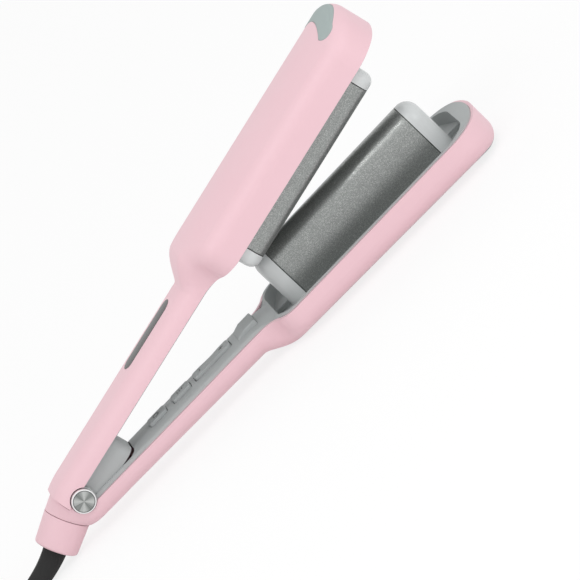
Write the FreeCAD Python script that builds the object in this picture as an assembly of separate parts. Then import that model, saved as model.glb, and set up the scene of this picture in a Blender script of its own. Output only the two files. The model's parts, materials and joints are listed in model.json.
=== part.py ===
"""Three-barrel hair crimper, lying open on a table on its lower arm.

Each arm is modelled in its own frame: origin on the hinge axis, X along the rim towards the tip,
Z upwards, both arms as they lie when shut. The arms are then turned about the hinge axis, which
runs along Y, and the whole is moved so that it stands on Z = 0 about the middle of its footprint.
All lengths are in millimetres and all angles in degrees.
"""
import FreeCAD
import Part
import math
import os

V = FreeCAD.Vector
X_AXIS, Y_AXIS, Z_AXIS = V(1, 0, 0), V(0, 1, 0), V(0, 0, 1)
ORIGIN = V(0, 0, 0)
os.makedirs("parts", exist_ok=True)

# How the arms stand
open_angle = 12.5
rest_pitch = 0.85
hinge_height = 22.4

# Outline of an arm, seen from above
head_half_width = 31.0
grip_half_width = 15.7
neck_start = 123.0
neck_end = 146.0
tip_x = 281.6
tip_corner_radius = 21.0
tip_front_radius = 50.0

# Walls and clearances
shell_wall = 1.8
seat_gap = 0.1
moving_gap = 0.5
side_gap = 0.4
running_gap = 0.05

# Upper arm heights above the hinge axis
upper_head_rim = 1.9
upper_grip_rim = 3.6
upper_head_top = 26.2
upper_grip_top = 14.2
upper_crown_radius = 66.0
upper_edge_radius = 9.0
upper_shoulder = (117.0, 134.0)
upper_rear_x = -7.6
upper_rear_fall = 1.0
upper_rear_fall_length = 10.0
upper_head_lip = 0.6
upper_grip_lip = 0.8
upper_liner_plate = 2.2

# Lower arm heights, measured from the hinge axis or from the table
lower_rim = -5.1
lower_grip_clearance = 6.6
lower_hinge_swell = 0.2
lower_hinge_swell_length = 24.0
lower_foot_flat = 0.4
lower_crown_radius = 60.0
lower_edge_radius = 8.6
lower_shoulder = (118.0, 137.0)
lower_shell_rear_x = 0.0
lower_liner_depth = 11.5
lower_liner_lip = 0.9

# Grey ridge of the lower handle, with the controls in it
ridge_top = -2.2
ridge_crown_radius = 60.0
ridge_edge_radius = 2.4
ridge_nose_x = 136.0
ridge_fall = (119.0, 138.0)
ridge_reach = 150.0
ridge_skirt = 1.3
ridge_wall = 1.8

# Barrels
sleeve_rear_x = 154.5
sleeve_length = 98.0
sleeve_wall = 1.2
seam_gap = 0.1
side_barrel_radius = 8.3
side_barrel_offset = 19.8
side_barrel_drop = 2.3
side_barrel_root = 8.6
side_tip_cap_length = 8.0
side_rear_cap_length = 8.6
centre_barrel_radius = 11.0
centre_barrel_height = 9.9
centre_barrel_tilt = 0.5
centre_barrel_foot = -14.6
centre_tip_cap_length = 9.4
centre_rear_cap_length = 9.6
centre_cap_rounding = 7.5
side_cap_rounding = 5.0
cap_spigot_length = 6.0
cap_spigot_wall = 1.6

# Pocket of the lower head and trough of the upper head
pocket_rear_x = 136.5
pocket_tip_x = 270.7
pocket_lip = 0.9
pocket_corner_radius = 16.0
pocket_rear_corner_radius = 13.0
pocket_floor = -14.8
channel_gap = 1.5
trough_gap = 0.6
trough_roof = 22.3
trough_wall = 1.4
trough_rear_x = 138.0
trough_tip_x = 268.0

# Heating parts
heater_thickness = 3.4
heater_inset = 4.0
fuse_radius = 2.0
fuse_length = 11.0

# Soft pads on both tips
pad_outer_centre_x = 250.3
pad_outer_radius = 29.2
pad_inner_centre_x = 238.6
pad_inner_radius = 28.7
pad_outer_half = 19.5
pad_inner_half = 17.0
pad_end_x = 265.6
pad_end_half = 22.4
pad_depth = 1.0
pad_proud = 0.2

# Display window in the upper handle
window_rear_x = 67.0
window_tip_x = 108.6
window_half_width = 5.0
window_thickness = 2.4
window_proud = 0.1

# Hinge
pin_radius = 2.5
pin_end = 15.4
cap_radius = 6.5
cap_recess_radius = 7.1
cap_outer_y = 17.3
cap_bevel = 0.6
ear_radius = 6.8
ear_wall = 2.0
ear_slot_end_x = 36.2
ear_slot_corner = 5.0
web_radius = 9.0
web_front_x = 34.5
web_wall = 3.0
web_cavity_radius = 7.2
spring_mean_radius = 3.6
spring_wire_radius = 0.8
spring_turns = 5
spring_pitch = 2.3
spring_leg = 7.0

# Collar at the cord end
collar_ring_x = -12.9
collar_tilt = 24.9
collar_length = 17.5
collar_front_radius = 12.1
collar_end_radius = 11.5
collar_bore = 9.8
collar_lip_start = 14.9
collar_end_fillet = 1.4
collar_seam = 0.35
spigot_radius = 9.4
spigot_bore = 7.5
spigot_length = 12.0
spigot_lip_start = 10.0
base_section_front_x = 5.0
base_section_rear_x = -1.0
base_top_front = 14.0
base_top_rear = 12.9
base_inset = 0.05

# Controls: start and end along the handle
power_button_x = (50.0, 62.0)
mode_button_x = (67.0, 79.5)
rocker_x = (83.0, 108.5)
button_half_width = 4.6
button_proud = 1.6
button_corner = 1.6
button_gap = 0.3
button_travel = 0.6
button_flange = 1.0
rocker_pivot_drop = 3.6
rocker_gap = 0.45
stop_block_x = (113.0, 126.0)
stop_block_half_width = 7.5
stop_block_proud = 1.8
stop_block_slope = 5.0
board_top = -9.0
board_thickness = 1.6
board_x = (44.0, 112.0)
board_half_width = 9.5
switch_size = 6.0
switch_clear = 0.2

# Screws
screw_head_radius = 2.4
screw_head_height = 1.6
screw_radius = 1.2
screw_boss_radius = 3.0
upper_boss_depth = 5.0
upper_screw_spots = ((43.0, 0.0), (60.0, 0.0))
lower_screw_spots = ((178.0, 0.0), (232.0, 0.0))
lower_screw_top = -15.2

# Leads inside the arms
supply_lead_radius = 1.5
heater_lead_radius = 1.3
lead_hole_radius = 2.4
lead_hole_x = 162.0
lead_gap = 0.3

# Swivel and strain relief at the cord end
boot_radius = 6.3
boot_end_radius = 4.0
boot_flange_radius = 7.1
boot_flange = (6.0, 9.4)
boot_core_start = 2.0

# Cord: its free stretches run through these points, from the middle of the footprint
cord_radius = 3.0
cord_route = [(-186.0, -14.0, 4.3), (-191.9, -21.2, 3.7), (-198.15, -28.2, 4.0),
              (-204.59, -34.92, 4.0)]
tail_route = [(-243.3, -50.95, 23.5), (-258.2, -50.3, 22.4), (-271.9, -45.9, 18.3),
              (-283.0, -36.9, 13.4), (-290.3, -24.3, 10.6), (-292.7, -10.8, 10.6)]

# Cord put away as a coil, wound clockwise from the outside, in four layers
coil_centre = (-237.3, -10.7)
coil_outer_radius = 40.1
coil_pitch = 6.5
coil_layers = 4
coil_turns = 7.125
coil_knots = 28
coil_start_angle = -45.0
coil_lift = 1.0
tie_angle = 60.0
tie_width = 10.0
tie_thickness = 0.8

# Plug
plug_height = 21.0
plug_thickness = 16.0
plug_body_length = 21.0
plug_neck_length = 8.0
plug_neck_radius = 4.6
plug_corner = 3.0
blade_spacing = 12.7
blade_width = 6.35
blade_thickness = 1.5
blade_length = 15.9
blade_hole_radius = 1.5


def turned_point(x, z, angle):
    """A point of the XZ plane turned about the hinge axis, tip upwards."""
    a = math.radians(angle)
    return x * math.cos(a) - z * math.sin(a), x * math.sin(a) + z * math.cos(a)


def box(x0, x1, y0, y1, z0, z1):
    return Part.makeBox(x1 - x0, y1 - y0, z1 - z0, V(x0, y0, z0))


def wide_box(x0, x1, half, z0, z1):
    """A box that is the same on both sides of the middle plane."""
    return box(x0, x1, -half, half, z0, z1)


def side_prism(points, half):
    """A prism across the arm, from its outline in the XZ plane."""
    corners = [V(x, -half, z) for x, z in points]
    face = Part.Face(Part.makePolygon(corners + corners[:1]))
    return face.extrude(V(0, 2 * half, 0))


def cross_cylinder(radius, y0, y1, x=0.0, z=0.0):
    return Part.makeCylinder(radius, y1 - y0, V(x, y0, z), Y_AXIS)


def fused(shapes):
    return shapes[0].fuse(shapes[1:]).removeSplitter()


def largest(shape):
    return max(shape.Solids, key=lambda solid: solid.Volume)


def mirrored(shape):
    return shape.mirror(ORIGIN, Y_AXIS)


def revolved(profile):
    """A turned piece about the collar axis: profile lists (distance along it, radius)."""
    corners = [V(-s, 0, r) for s, r in profile]
    face = Part.Face(Part.makePolygon(corners + corners[:1]))
    return face.revolve(ORIGIN, X_AXIS, 360)


def rounded_slab(x0, x1, half, corner, z0, z1):
    """A slab with rounded corners in plan."""
    slab = wide_box(x0, x1, half, z0, z1)
    upright = [e for e in slab.Edges if e.BoundBox.ZLength > abs(z1 - z0) / 2]
    return slab.makeFillet(corner, upright)


def smooth_step(t):
    t = max(0.0, min(1.0, t))
    return t * t * (3 - 2 * t)


def shoulder(x, span, low, high):
    """Height that climbs from the handle to the head, hollow at the foot and full at the top."""
    t = max(0.0, min(1.0, (x - span[0]) / (span[1] - span[0])))
    return low + (high - low) * math.sin(math.pi / 2 * t ** 0.8) ** 1.6


def upper_top(x, rear_fall=0.0):
    fall = max(0.0, (upper_rear_x + upper_rear_fall_length - x) / upper_rear_fall_length)
    return shoulder(x, upper_shoulder, upper_grip_top, upper_head_top) - rear_fall * fall ** 2


def floor_depth(x):
    """Depth of the table below the lower arm's X axis."""
    a = math.radians(rest_pitch)
    return hinge_height / math.cos(a) + x * math.tan(a)


def lower_depth(x):
    swell = smooth_step((lower_hinge_swell_length + 6 - x) / lower_hinge_swell_length)
    grip = lower_grip_clearance - lower_hinge_swell * swell
    return floor_depth(x) - shoulder(x, lower_shoulder, grip, -lower_foot_flat)


def arc_edge(a, b, c):
    return Part.Arc(V(a[0], a[1], 0), V(b[0], b[1], 0), V(c[0], c[1], 0)).toShape()


def line_edge(a, b):
    return Part.LineSegment(V(a[0], a[1], 0), V(b[0], b[1], 0)).toShape()


def outline_face(half_edges):
    """A face from the edges of its half on the +Y side, which run from the rear to the tip."""
    other = [e.mirror(ORIGIN, Y_AXIS) for e in half_edges]
    ends = [v.Point for v in half_edges[0].Vertexes] + [v.Point for v in half_edges[-1].Vertexes]
    rear = min(ends, key=lambda p: p.x)
    closing = Part.LineSegment(rear, V(rear.x, -rear.y, 0)).toShape()
    return Part.Face(Part.Wire(Part.__sortEdges__(half_edges + other + [closing])))


def arm_outline(inset, rear_x):
    """An arm's outline from above: handle, flared neck, head and rounded tip."""
    flare = head_half_width - grip_half_width
    run = neck_end - neck_start
    bend = (run ** 2 + flare ** 2) / (4 * flare)
    turn = 2 * math.atan2(flare, run)
    hollow = (neck_start, grip_half_width + bend)
    full = (neck_end, head_half_width - bend)

    def on_hollow(a):
        r = bend + inset
        return hollow[0] + r * math.sin(a), hollow[1] - r * math.cos(a)

    def on_full(a):
        r = bend - inset
        return full[0] - r * math.sin(a), full[1] + r * math.cos(a)

    front_x = tip_x - tip_front_radius
    corner_y = head_half_width - tip_corner_radius
    corner_x = front_x + math.sqrt((tip_front_radius - tip_corner_radius) ** 2 - corner_y ** 2)
    lean = math.atan2(corner_y, corner_x - front_x)
    corner_r, front_r = tip_corner_radius - inset, tip_front_radius - inset

    def on_corner(a):
        return corner_x + corner_r * math.cos(a), corner_y + corner_r * math.sin(a)

    def on_front(a):
        return front_x + front_r * math.cos(a), front_r * math.sin(a)

    side = grip_half_width - inset
    edges = [
        line_edge((rear_x, side), (neck_start, side)),
        arc_edge(on_hollow(0), on_hollow(turn / 2), on_hollow(turn)),
        arc_edge(on_full(turn), on_full(turn / 2), on_full(0)),
        line_edge(on_full(0), on_corner(math.pi / 2)),
        arc_edge(on_corner(math.pi / 2), on_corner((math.pi / 2 + lean) / 2), on_corner(lean)),
        arc_edge(on_front(lean), on_front(lean / 2), on_front(0)),
    ]
    return outline_face(edges)


def nosed_outline(half, rear_x, nose_x):
    """A straight strip that ends in a half round."""
    centre_x = nose_x - half
    quarter = half * math.sqrt(0.5)
    edges = [
        line_edge((rear_x, half), (centre_x, half)),
        arc_edge((centre_x, half), (centre_x + quarter, quarter), (nose_x, 0)),
    ]
    return outline_face(edges)


def crowned_body(outline, top, crown_radius, edge_radius, bottom):
    """A solid under a crowned top, whose upper edges are rounded all round but at the rear."""
    x_step, y_step, half, reach = 2.5, 7.5, 37.5, 100.0
    x0 = outline.BoundBox.XMin - 10
    count = int((outline.BoundBox.XMax + 20 - x0) / x_step) + 1
    across = [-half + y_step * j for j in range(int(2 * half / y_step) + 1)]
    heights = [[top(x0 + x_step * i) - crown_radius + math.sqrt(crown_radius ** 2 - y * y)
                for y in across] for i in range(count)]
    crown = Part.BSplineSurface()
    crown.interpolate(heights, x0, x_step, -half, y_step)
    block = outline.extrude(V(0, 0, reach))
    block.translate(V(0, 0, bottom))
    body = largest(block.common(crown.toShape().extrude(V(0, 0, -2 * reach))))
    return body.makeFillet(edge_radius, rim_edges(body, outline.BoundBox.XMin))


def rim_edges(body, rear_x):
    """The edges between the upright walls and the crowned top."""
    found = []
    for edge in body.Edges:
        middle = edge.valueAt((edge.FirstParameter + edge.LastParameter) / 2)
        if middle.x < rear_x + 0.1:
            continue
        slopes = []
        for face in body.ancestorsOfType(edge, Part.Face):
            u, v = face.Surface.parameter(middle)
            slopes.append(abs(face.normalAt(u, v).z))
        if len(slopes) == 2 and min(slopes) < 0.05 and 0.3 < max(slopes) and edge.BoundBox.ZMin > -60:
            found.append(edge)
    return [e for e in found if e.BoundBox.ZMax > body.BoundBox.ZMin + 5]


def upper_body(inset, rear_x=upper_rear_x):
    """The upper arm's outer form, or a form a given distance inside it, above its rim."""
    fall = upper_rear_fall if inset == 0 else 0.0
    body = crowned_body(arm_outline(inset, rear_x), lambda x: upper_top(x, fall) - inset,
                        upper_crown_radius - inset, upper_edge_radius - inset, -20)
    far = tip_x + 20
    below = [(-40, -60), (far, -60), (far, upper_head_rim), (neck_end, upper_head_rim),
             (neck_start, upper_grip_rim), (-40, upper_grip_rim)]
    return body.cut(side_prism(below, 60))


def lower_body(inset, rear_x=lower_shell_rear_x, rim_lift=0.0):
    """The lower arm's outer form, or a form a given distance inside it, below its rim."""
    body = crowned_body(arm_outline(inset, rear_x), lambda x: lower_depth(x) - inset,
                        lower_crown_radius - inset, lower_edge_radius - inset, -20)
    body.rotate(ORIGIN, X_AXIS, 180)
    body = body.cut(wide_box(-40, tip_x + 20, 60, lower_rim + rim_lift, lower_rim + rim_lift + 60))
    return body.cut(below_floor(inset))


def below_floor(lift):
    """Everything below the table, or below a plane a given height over it, seen from the lower arm."""
    low = [(x, lift - floor_depth(x)) for x in (-80, tip_x + 40)]
    return side_prism(low + [(tip_x + 40, -90), (-80, -90)], 90)


def pad_prism(grow):
    """The crescent of a tip pad, as an upright prism."""
    def on_arc(centre_x, radius, y):
        return centre_x + math.sqrt(radius ** 2 - y * y), y

    outer_r, inner_r = pad_outer_radius + grow, pad_inner_radius - grow
    outer_end = on_arc(pad_outer_centre_x, outer_r, pad_outer_half + grow)
    inner_end = on_arc(pad_inner_centre_x, inner_r, pad_inner_half)
    edges = [
        arc_edge(on_arc(pad_outer_centre_x, outer_r, -outer_end[1]),
                 on_arc(pad_outer_centre_x, outer_r, 0), outer_end),
        arc_edge(outer_end, (pad_end_x, pad_end_half + grow), inner_end),
        arc_edge(inner_end, on_arc(pad_inner_centre_x, inner_r, 0),
                 on_arc(pad_inner_centre_x, inner_r, -inner_end[1])),
        arc_edge((inner_end[0], -inner_end[1]), (pad_end_x, -pad_end_half - grow),
                 (outer_end[0], -outer_end[1])),
    ]
    return Part.Face(Part.Wire(Part.__sortEdges__(edges))).extrude(V(0, 0, 80))


def ear_outer_y():
    return grip_half_width - shell_wall - side_gap


def web_half_width():
    return ear_outer_y() - ear_wall - side_gap


def window_prism(grow):
    """The display window's rounded slot, as an upright prism."""
    half = window_half_width + grow
    return rounded_slab(window_rear_x - grow, window_tip_x + grow, half, half - 0.01, -5, 60)


def make_upper_shell():
    shell = upper_body(0).cut(upper_body(shell_wall, upper_rear_x + shell_wall))
    shell = shell.cut(pad_prism(seat_gap).cut(upper_body(pad_depth)))
    shell = shell.cut(window_prism(seat_gap))
    shell = shell.cut(cross_cylinder(cap_recess_radius, -40, 40))
    shell = shell.cut(cross_cylinder(web_radius + seat_gap, -web_half_width() - side_gap,
                                     web_half_width() + side_gap))
    for x, y in upper_screw_spots:
        foot = upper_grip_rim - upper_grip_lip + upper_liner_plate + seat_gap
        boss = Part.makeCylinder(screw_boss_radius, upper_grip_top - shell_wall / 2 - foot, V(x, y, foot))
        bore = Part.makeCylinder(screw_radius + running_gap, upper_boss_depth, V(x, y, foot))
        shell = shell.fuse(boss).cut(bore)
    return largest(shell)


def make_upper_pad():
    pad = pad_prism(0).common(upper_body(-pad_proud)).cut(upper_body(pad_depth))
    return largest(pad)


def side_slot(gap):
    """Room for one side barrel's root in the upper liner, on the +Y side."""
    half = side_barrel_radius + gap
    x0 = sleeve_rear_x - side_rear_cap_length - gap
    x1 = sleeve_rear_x + sleeve_length + side_tip_cap_length + gap
    return box(x0, x1, side_barrel_offset - half, side_barrel_offset + half, -20, side_barrel_root + gap)


def make_upper_liner():
    inside = upper_body(shell_wall + seat_gap, upper_rear_x + shell_wall)
    outline = arm_outline(shell_wall + seat_gap, cap_recess_radius + side_gap)
    lip_grip = upper_grip_rim - upper_grip_lip
    lip_head = upper_head_rim - upper_head_lip
    far = tip_x + 20
    plate_lines = [(-40, lip_grip), (neck_start, lip_grip), (neck_end, lip_head), (far, lip_head)]
    plate = side_prism(plate_lines + [(x, z + upper_liner_plate) for x, z in reversed(plate_lines)], 60)
    slab = outline.extrude(V(0, 0, 80))
    parts = [slab.common(plate)]
    wall = trough_wall
    slot = side_slot(seat_gap)
    housing = box(slot.BoundBox.XMin - wall, slot.BoundBox.XMax + wall, slot.BoundBox.YMin - wall,
                  slot.BoundBox.YMax + wall, lip_head, slot.BoundBox.ZMax + wall)
    trough_half = centre_barrel_radius + trough_gap
    roof = wide_box(trough_rear_x - wall, trough_tip_x + wall, trough_half + wall, lip_head,
                    trough_roof + wall)
    parts += [housing.common(inside), mirrored(housing).common(inside), roof.common(inside)]
    liner = fused(parts)
    liner = liner.cut(slot).cut(mirrored(slot))
    liner = liner.cut(wide_box(trough_rear_x, trough_tip_x, trough_half, -20, trough_roof))
    for side in (-1, 1):
        y = side * side_barrel_offset
        hole = Part.makeCylinder(lead_hole_radius, 10, V(lead_hole_x, y, side_barrel_root - 1))
        liner = liner.cut(hole)
    for x, y in upper_screw_spots:
        liner = liner.cut(Part.makeCylinder(screw_head_radius + 0.4, screw_head_height + 0.1,
                                            V(x, y, lip_grip)))
        liner = liner.cut(Part.makeCylinder(screw_radius + running_gap, 12, V(x, y, lip_grip)))
    liner = liner.fuse(make_web()).removeSplitter()
    liner = liner.cut(cross_cylinder(pin_radius + running_gap, -40, 40))
    for lead in make_upper_leads(lead_gap).Solids:
        liner = liner.cut(lead)
    return largest(liner)


def make_web():
    """The upper arm's knuckle: two cheeks about the pin, joined to the handle plate."""
    half = web_half_width()
    top = upper_grip_rim - upper_grip_lip + upper_liner_plate
    block = side_prism([(0, top), (web_front_x, top), (web_front_x, -web_radius), (0, -web_radius)], half)
    front = [e for e in block.Edges if e.BoundBox.ZLength > 5 and e.CenterOfMass.x > web_front_x - 0.1]
    block = block.makeFillet(ear_slot_corner, front)
    block = fused([block, cross_cylinder(web_radius, -half, half)])
    inner = half - web_wall
    hollow = fused([cross_cylinder(web_cavity_radius, -inner, inner),
                    wide_box(0, web_front_x - web_wall, inner, -web_cavity_radius, upper_grip_rim)])
    return block.cut(hollow)


def arch_face(half, centre_z, foot_z, x, y=0.0):
    """An arch in a plane across the arm: a half round on two straight legs."""
    way = 1 if centre_z > foot_z else -1
    right_foot, right = V(x, y + half, foot_z), V(x, y + half, centre_z)
    left_foot, left = V(x, y - half, foot_z), V(x, y - half, centre_z)
    arc = Part.Arc(right, V(x, y, centre_z + way * half), left).toShape()
    legs = [Part.LineSegment(right_foot, right).toShape(), arc, Part.LineSegment(left, left_foot).toShape(),
            Part.LineSegment(left_foot, right_foot).toShape()]
    return Part.Face(Part.Wire(legs))


def arch_bar(half, centre_z, foot_z, x0, x1, y=0.0):
    return arch_face(half, centre_z, foot_z, x0, y).extrude(V(x1 - x0, 0, 0))


def barrel_parts(radius, centre_z, foot_z, y, rear_cap, tip_cap, rounding):
    """One barrel along X: sleeve, rear cap, tip cap and heater."""
    x0, x1 = sleeve_rear_x, sleeve_rear_x + sleeve_length
    way = 1 if centre_z > foot_z else -1
    inner = radius - sleeve_wall
    sleeve = arch_bar(radius, centre_z, foot_z, x0, x1, y).cut(
        arch_bar(inner, centre_z, foot_z - way, x0 - 1, x1 + 1, y))

    def cap(near, far, spigot):
        block = arch_bar(radius, centre_z, foot_z, min(near, far), max(near, far), y)
        rounded = [e for e in block.Edges if abs(e.CenterOfMass.x - far) < 0.01
                   and (e.CenterOfMass.z - foot_z) * way > 0.5]
        block = block.makeFillet(rounding, rounded)
        plug_r = inner - seat_gap
        tongue = arch_bar(plug_r, centre_z, foot_z, min(near, spigot), max(near, spigot), y)
        core_r = plug_r - cap_spigot_wall
        core = arch_bar(core_r, centre_z, foot_z - way, min(near, spigot) - 0.5, max(near, spigot) + 0.5, y)
        step = 1 if spigot > near else -1
        core.translate(V(step * 0.5, 0, 0))
        return largest(fused([block, tongue]).cut(core))

    rear = cap(x0 - seam_gap, x0 - rear_cap, x0 + cap_spigot_length)
    tip = cap(x1 + seam_gap, x1 + tip_cap, x1 - cap_spigot_length)
    plate_half = inner - seat_gap - 0.6
    far_z = centre_z - way * 0.5
    near_z = far_z - way * heater_thickness
    heater = box(x0 + cap_spigot_length + heater_inset, x1 - cap_spigot_length - heater_inset,
                 y - plate_half, y + plate_half, min(far_z, near_z), max(far_z, near_z))
    fuse = Part.makeCylinder(fuse_radius, fuse_length, V(x0 + sleeve_length / 2, y,
                                                         near_z - way * (fuse_radius + 0.1)), X_AXIS)
    return {"barrel": sleeve, "rear_cap": rear, "tip_cap": tip, "heater": heater, "thermal_fuse": fuse}


def make_side_barrels():
    """Both barrels of the upper arm, named by the side of the arm that they are on."""
    made = {}
    for name, side in (("near", -1), ("far", 1)):
        parts = barrel_parts(side_barrel_radius, -side_barrel_drop, side_barrel_root,
                             side * side_barrel_offset, side_rear_cap_length, side_tip_cap_length,
                             side_cap_rounding)
        for piece, shape in parts.items():
            made[name + "_" + piece] = shape
    return made


def make_centre_barrel():
    """The lower arm's barrel, which stands nose up."""
    parts = barrel_parts(centre_barrel_radius, centre_barrel_height, centre_barrel_foot, 0,
                         centre_rear_cap_length, centre_tip_cap_length, centre_cap_rounding)
    middle = V(sleeve_rear_x + sleeve_length / 2, 0, centre_barrel_height)
    for shape in parts.values():
        shape.rotate(middle, Y_AXIS, -centre_barrel_tilt)
    sole = wide_box(100, tip_x, 40, -60, pocket_floor + seat_gap)
    return {"centre_" + piece: largest(shape.cut(sole)) for piece, shape in parts.items()}


def pocket_prism():
    """The pocket's outline from above, as an upright prism: it follows the arm at the rear."""
    inset = shell_wall + seat_gap + pocket_lip
    half = head_half_width - inset
    slab = wide_box(pocket_rear_x, pocket_tip_x, half, -20, 20)
    upright = [e for e in slab.Edges if e.BoundBox.ZLength > 10]
    middle = (pocket_rear_x + pocket_tip_x) / 2
    slab = slab.makeFillet(pocket_rear_corner_radius, [e for e in upright if e.CenterOfMass.x < middle])
    upright = [e for e in slab.Edges if e.BoundBox.ZLength > 10 and e.CenterOfMass.x > pocket_tip_x - 0.1]
    slab = slab.makeFillet(pocket_corner_radius, upright)
    outline = arm_outline(inset, 0).extrude(V(0, 0, 60))
    outline.translate(V(0, 0, -30))
    return slab.common(outline)


def make_lower_liner():
    top, bottom = lower_rim + lower_liner_lip, lower_rim - lower_liner_depth
    head = lower_body(shell_wall + seat_gap, rim_lift=lower_liner_lip).common(
        side_prism([(neck_start - 8, bottom), (neck_start - 8, top - 6), (stop_block_x[1] + 2, top - 3.2),
                    (ridge_fall[1], top), (tip_x + 5, top), (tip_x + 5, bottom)], 60))
    radius = side_barrel_radius + channel_gap
    z = -side_barrel_drop
    x0, x1 = pocket_rear_x - 5, pocket_tip_x + 5
    room = [wide_box(x0, x1, centre_barrel_radius + trough_gap, pocket_floor, 20)]
    for side in (-1, 1):
        y = side * side_barrel_offset
        room.append(Part.makeCylinder(radius, x1 - x0, V(x0, y, z), X_AXIS))
        room.append(box(x0, x1, y - radius, y + radius, z, 20))
        room.append(box(x0, x1, min(0, y), max(0, y), z - radius, 20))
    pocket = fused(room).common(pocket_prism())
    ridge = make_ridge()
    liner = fused([head, ridge]).cut(pocket)
    for x in (sleeve_rear_x + 12, sleeve_rear_x + sleeve_length - 12):
        liner = liner.cut(Part.makeCylinder(lead_hole_radius, 20, V(x, 0, pocket_floor - 10)))
    for x, y in lower_screw_spots:
        liner = liner.cut(Part.makeCylinder(screw_radius + running_gap, 10, V(x, y, lower_screw_top - 9.8)))
    return largest(liner.cut(make_heater_leads(lead_gap)).cut(make_supply_leads(lead_gap)))


def ridge_drop(y):
    """How much lower the ridge's crown is at a distance from the middle plane."""
    return ridge_crown_radius - math.sqrt(ridge_crown_radius ** 2 - y * y)


def ridge_height(x):
    """Height of the ridge's crown, which falls to the rim of the pocket at the neck."""
    fallen = smooth_step((x - ridge_fall[0]) / (ridge_fall[1] - ridge_fall[0]))
    head_top = lower_rim + lower_liner_lip - 0.1
    return ridge_top + (head_top - ridge_top) * fallen


def make_ridge():
    """The handle's grey ridge: a thin cover with holes for the controls, and the hinge ears."""
    half = grip_half_width - shell_wall - seat_gap
    foot = lower_rim - ridge_skirt
    ears = ear_outer_y()
    deep = foot - lower_liner_depth
    outer = crowned_body(arm_outline(shell_wall + seat_gap, 0), ridge_height, ridge_crown_radius,
                         ridge_edge_radius, deep)
    narrow = crowned_body(nosed_outline(ears, 0, ridge_nose_x), ridge_height, ridge_crown_radius,
                          ridge_edge_radius, deep)
    inner = crowned_body(nosed_outline(half - ridge_wall, 0, ridge_nose_x - ridge_wall),
                         lambda x: ridge_height(x) - ridge_wall, ridge_crown_radius,
                         ridge_edge_radius - ridge_wall, deep)
    split = ear_slot_end_x + ear_slot_corner
    cover = fused([outer.common(wide_box(split, ridge_reach, 40, foot, 40)),
                   narrow.common(wide_box(-20, split, 40, foot, 40))])
    cover = cover.cut(inner)
    slot_half = ears - ear_wall
    plug = wide_box(ear_slot_end_x - ear_slot_corner, split, slot_half, foot, 20).common(narrow)
    lobes = cross_cylinder(ear_radius, -ears, ears)
    ear_band = fused([lobes, wide_box(-ear_radius, 4, ears, foot, 0)])
    cover = fused([cover, plug, ear_band.common(wide_box(-20, 20, ears, foot, 20))])
    slot = rounded_slab(-30, ear_slot_end_x, slot_half, ear_slot_corner, -40, 40)
    cover = cover.cut(slot).cut(cross_cylinder(pin_radius + 0.02, -40, 40))
    for (x0, x1), gap in ((power_button_x, button_gap), (mode_button_x, button_gap), (rocker_x, rocker_gap)):
        cover = cover.cut(rounded_slab(x0 - gap, x1 + gap, button_half_width + gap, button_corner, -8, 10))
    x0, x1 = stop_block_x
    cover = cover.cut(wide_box(x0 - seat_gap, x1 + seat_gap, stop_block_half_width + seat_gap, -8, 10))
    ribs = [wide_box(x - 0.8, x + 0.8, half - ridge_wall + 0.1, board_top, ridge_top - ridge_wall + 0.1)
            for x in (board_x[0] + 2, board_x[1] - 1.6)]
    return largest(fused([cover] + [rib.common(outer) for rib in ribs]))


def section_wire(x, half, bottom, top, edge, inset=0.0):
    """A closed section across the hinge end: crowned above and below, with rounded corners."""
    half, edge = half - inset, edge - inset

    def corner(z_end, crown_radius, way):
        r = crown_radius - inset
        centre_z = z_end - way * crown_radius
        lift = math.sqrt((r - edge) ** 2 - (half - edge) ** 2)
        z = centre_z + way * lift
        lean = math.atan2(half - edge, lift)
        on_crown = (r * math.sin(lean), centre_z + way * r * math.cos(lean))
        mid_a = (math.pi / 2 + lean) / 2
        on_corner = (half - edge + edge * math.sin(mid_a), z + way * edge * math.cos(mid_a))
        return on_crown, on_corner, (half, z), centre_z + way * r

    crown_b, mid_b, wall_b, apex_b = corner(bottom, lower_crown_radius, -1)
    crown_t, mid_t, wall_t, apex_t = corner(top, upper_crown_radius, 1)

    def at(p, side=1):
        return V(x, side * p[0], p[1])

    edges = [
        Part.Arc(at(crown_b, -1), V(x, 0, apex_b), at(crown_b)).toShape(),
        Part.Arc(at(crown_b), at(mid_b), at(wall_b)).toShape(),
        Part.LineSegment(at(wall_b), at(wall_t)).toShape(),
        Part.Arc(at(wall_t), at(mid_t), at(crown_t)).toShape(),
        Part.Arc(at(crown_t), V(x, 0, apex_t), at(crown_t, -1)).toShape(),
        Part.Arc(at(crown_t, -1), at(mid_t, -1), at(wall_t, -1)).toShape(),
        Part.LineSegment(at(wall_t, -1), at(wall_b, -1)).toShape(),
        Part.Arc(at(wall_b, -1), at(mid_b, -1), at(crown_b, -1)).toShape(),
    ]
    return Part.Wire(edges)


def collar_point(s, up, y=0.0):
    """A point of the lower arm's frame, s along the collar and up across it."""
    a = math.radians(collar_tilt)
    return V(collar_ring_x - s * math.cos(a) - up * math.sin(a), y,
             collar_ring_z() - s * math.sin(a) + up * math.cos(a))


def collar_ring_z():
    """Height of the collar's front, so that the collar's end just stands on the table."""
    a = math.radians(collar_tilt)
    low_x = collar_ring_x - collar_length * math.cos(a) + collar_end_radius * math.sin(a)
    return -floor_depth(low_x) + collar_length * math.sin(a) + collar_end_radius * math.cos(a)


def collar_circle(s, radius):
    """A circle about the collar axis in eight arcs that match a hinge end section."""
    breaks = [-125, -55, -25, 20, 55, 125, 160, 205, 235]

    def at(angle):
        a = math.radians(angle)
        return collar_point(s, radius * math.sin(a), radius * math.cos(a))

    edges = []
    for a, b in zip(breaks[:-1], breaks[1:]):
        edges.append(Part.Arc(at(a), at((a + b) / 2), at(b)).toShape())
    return Part.Wire(edges)


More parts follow.
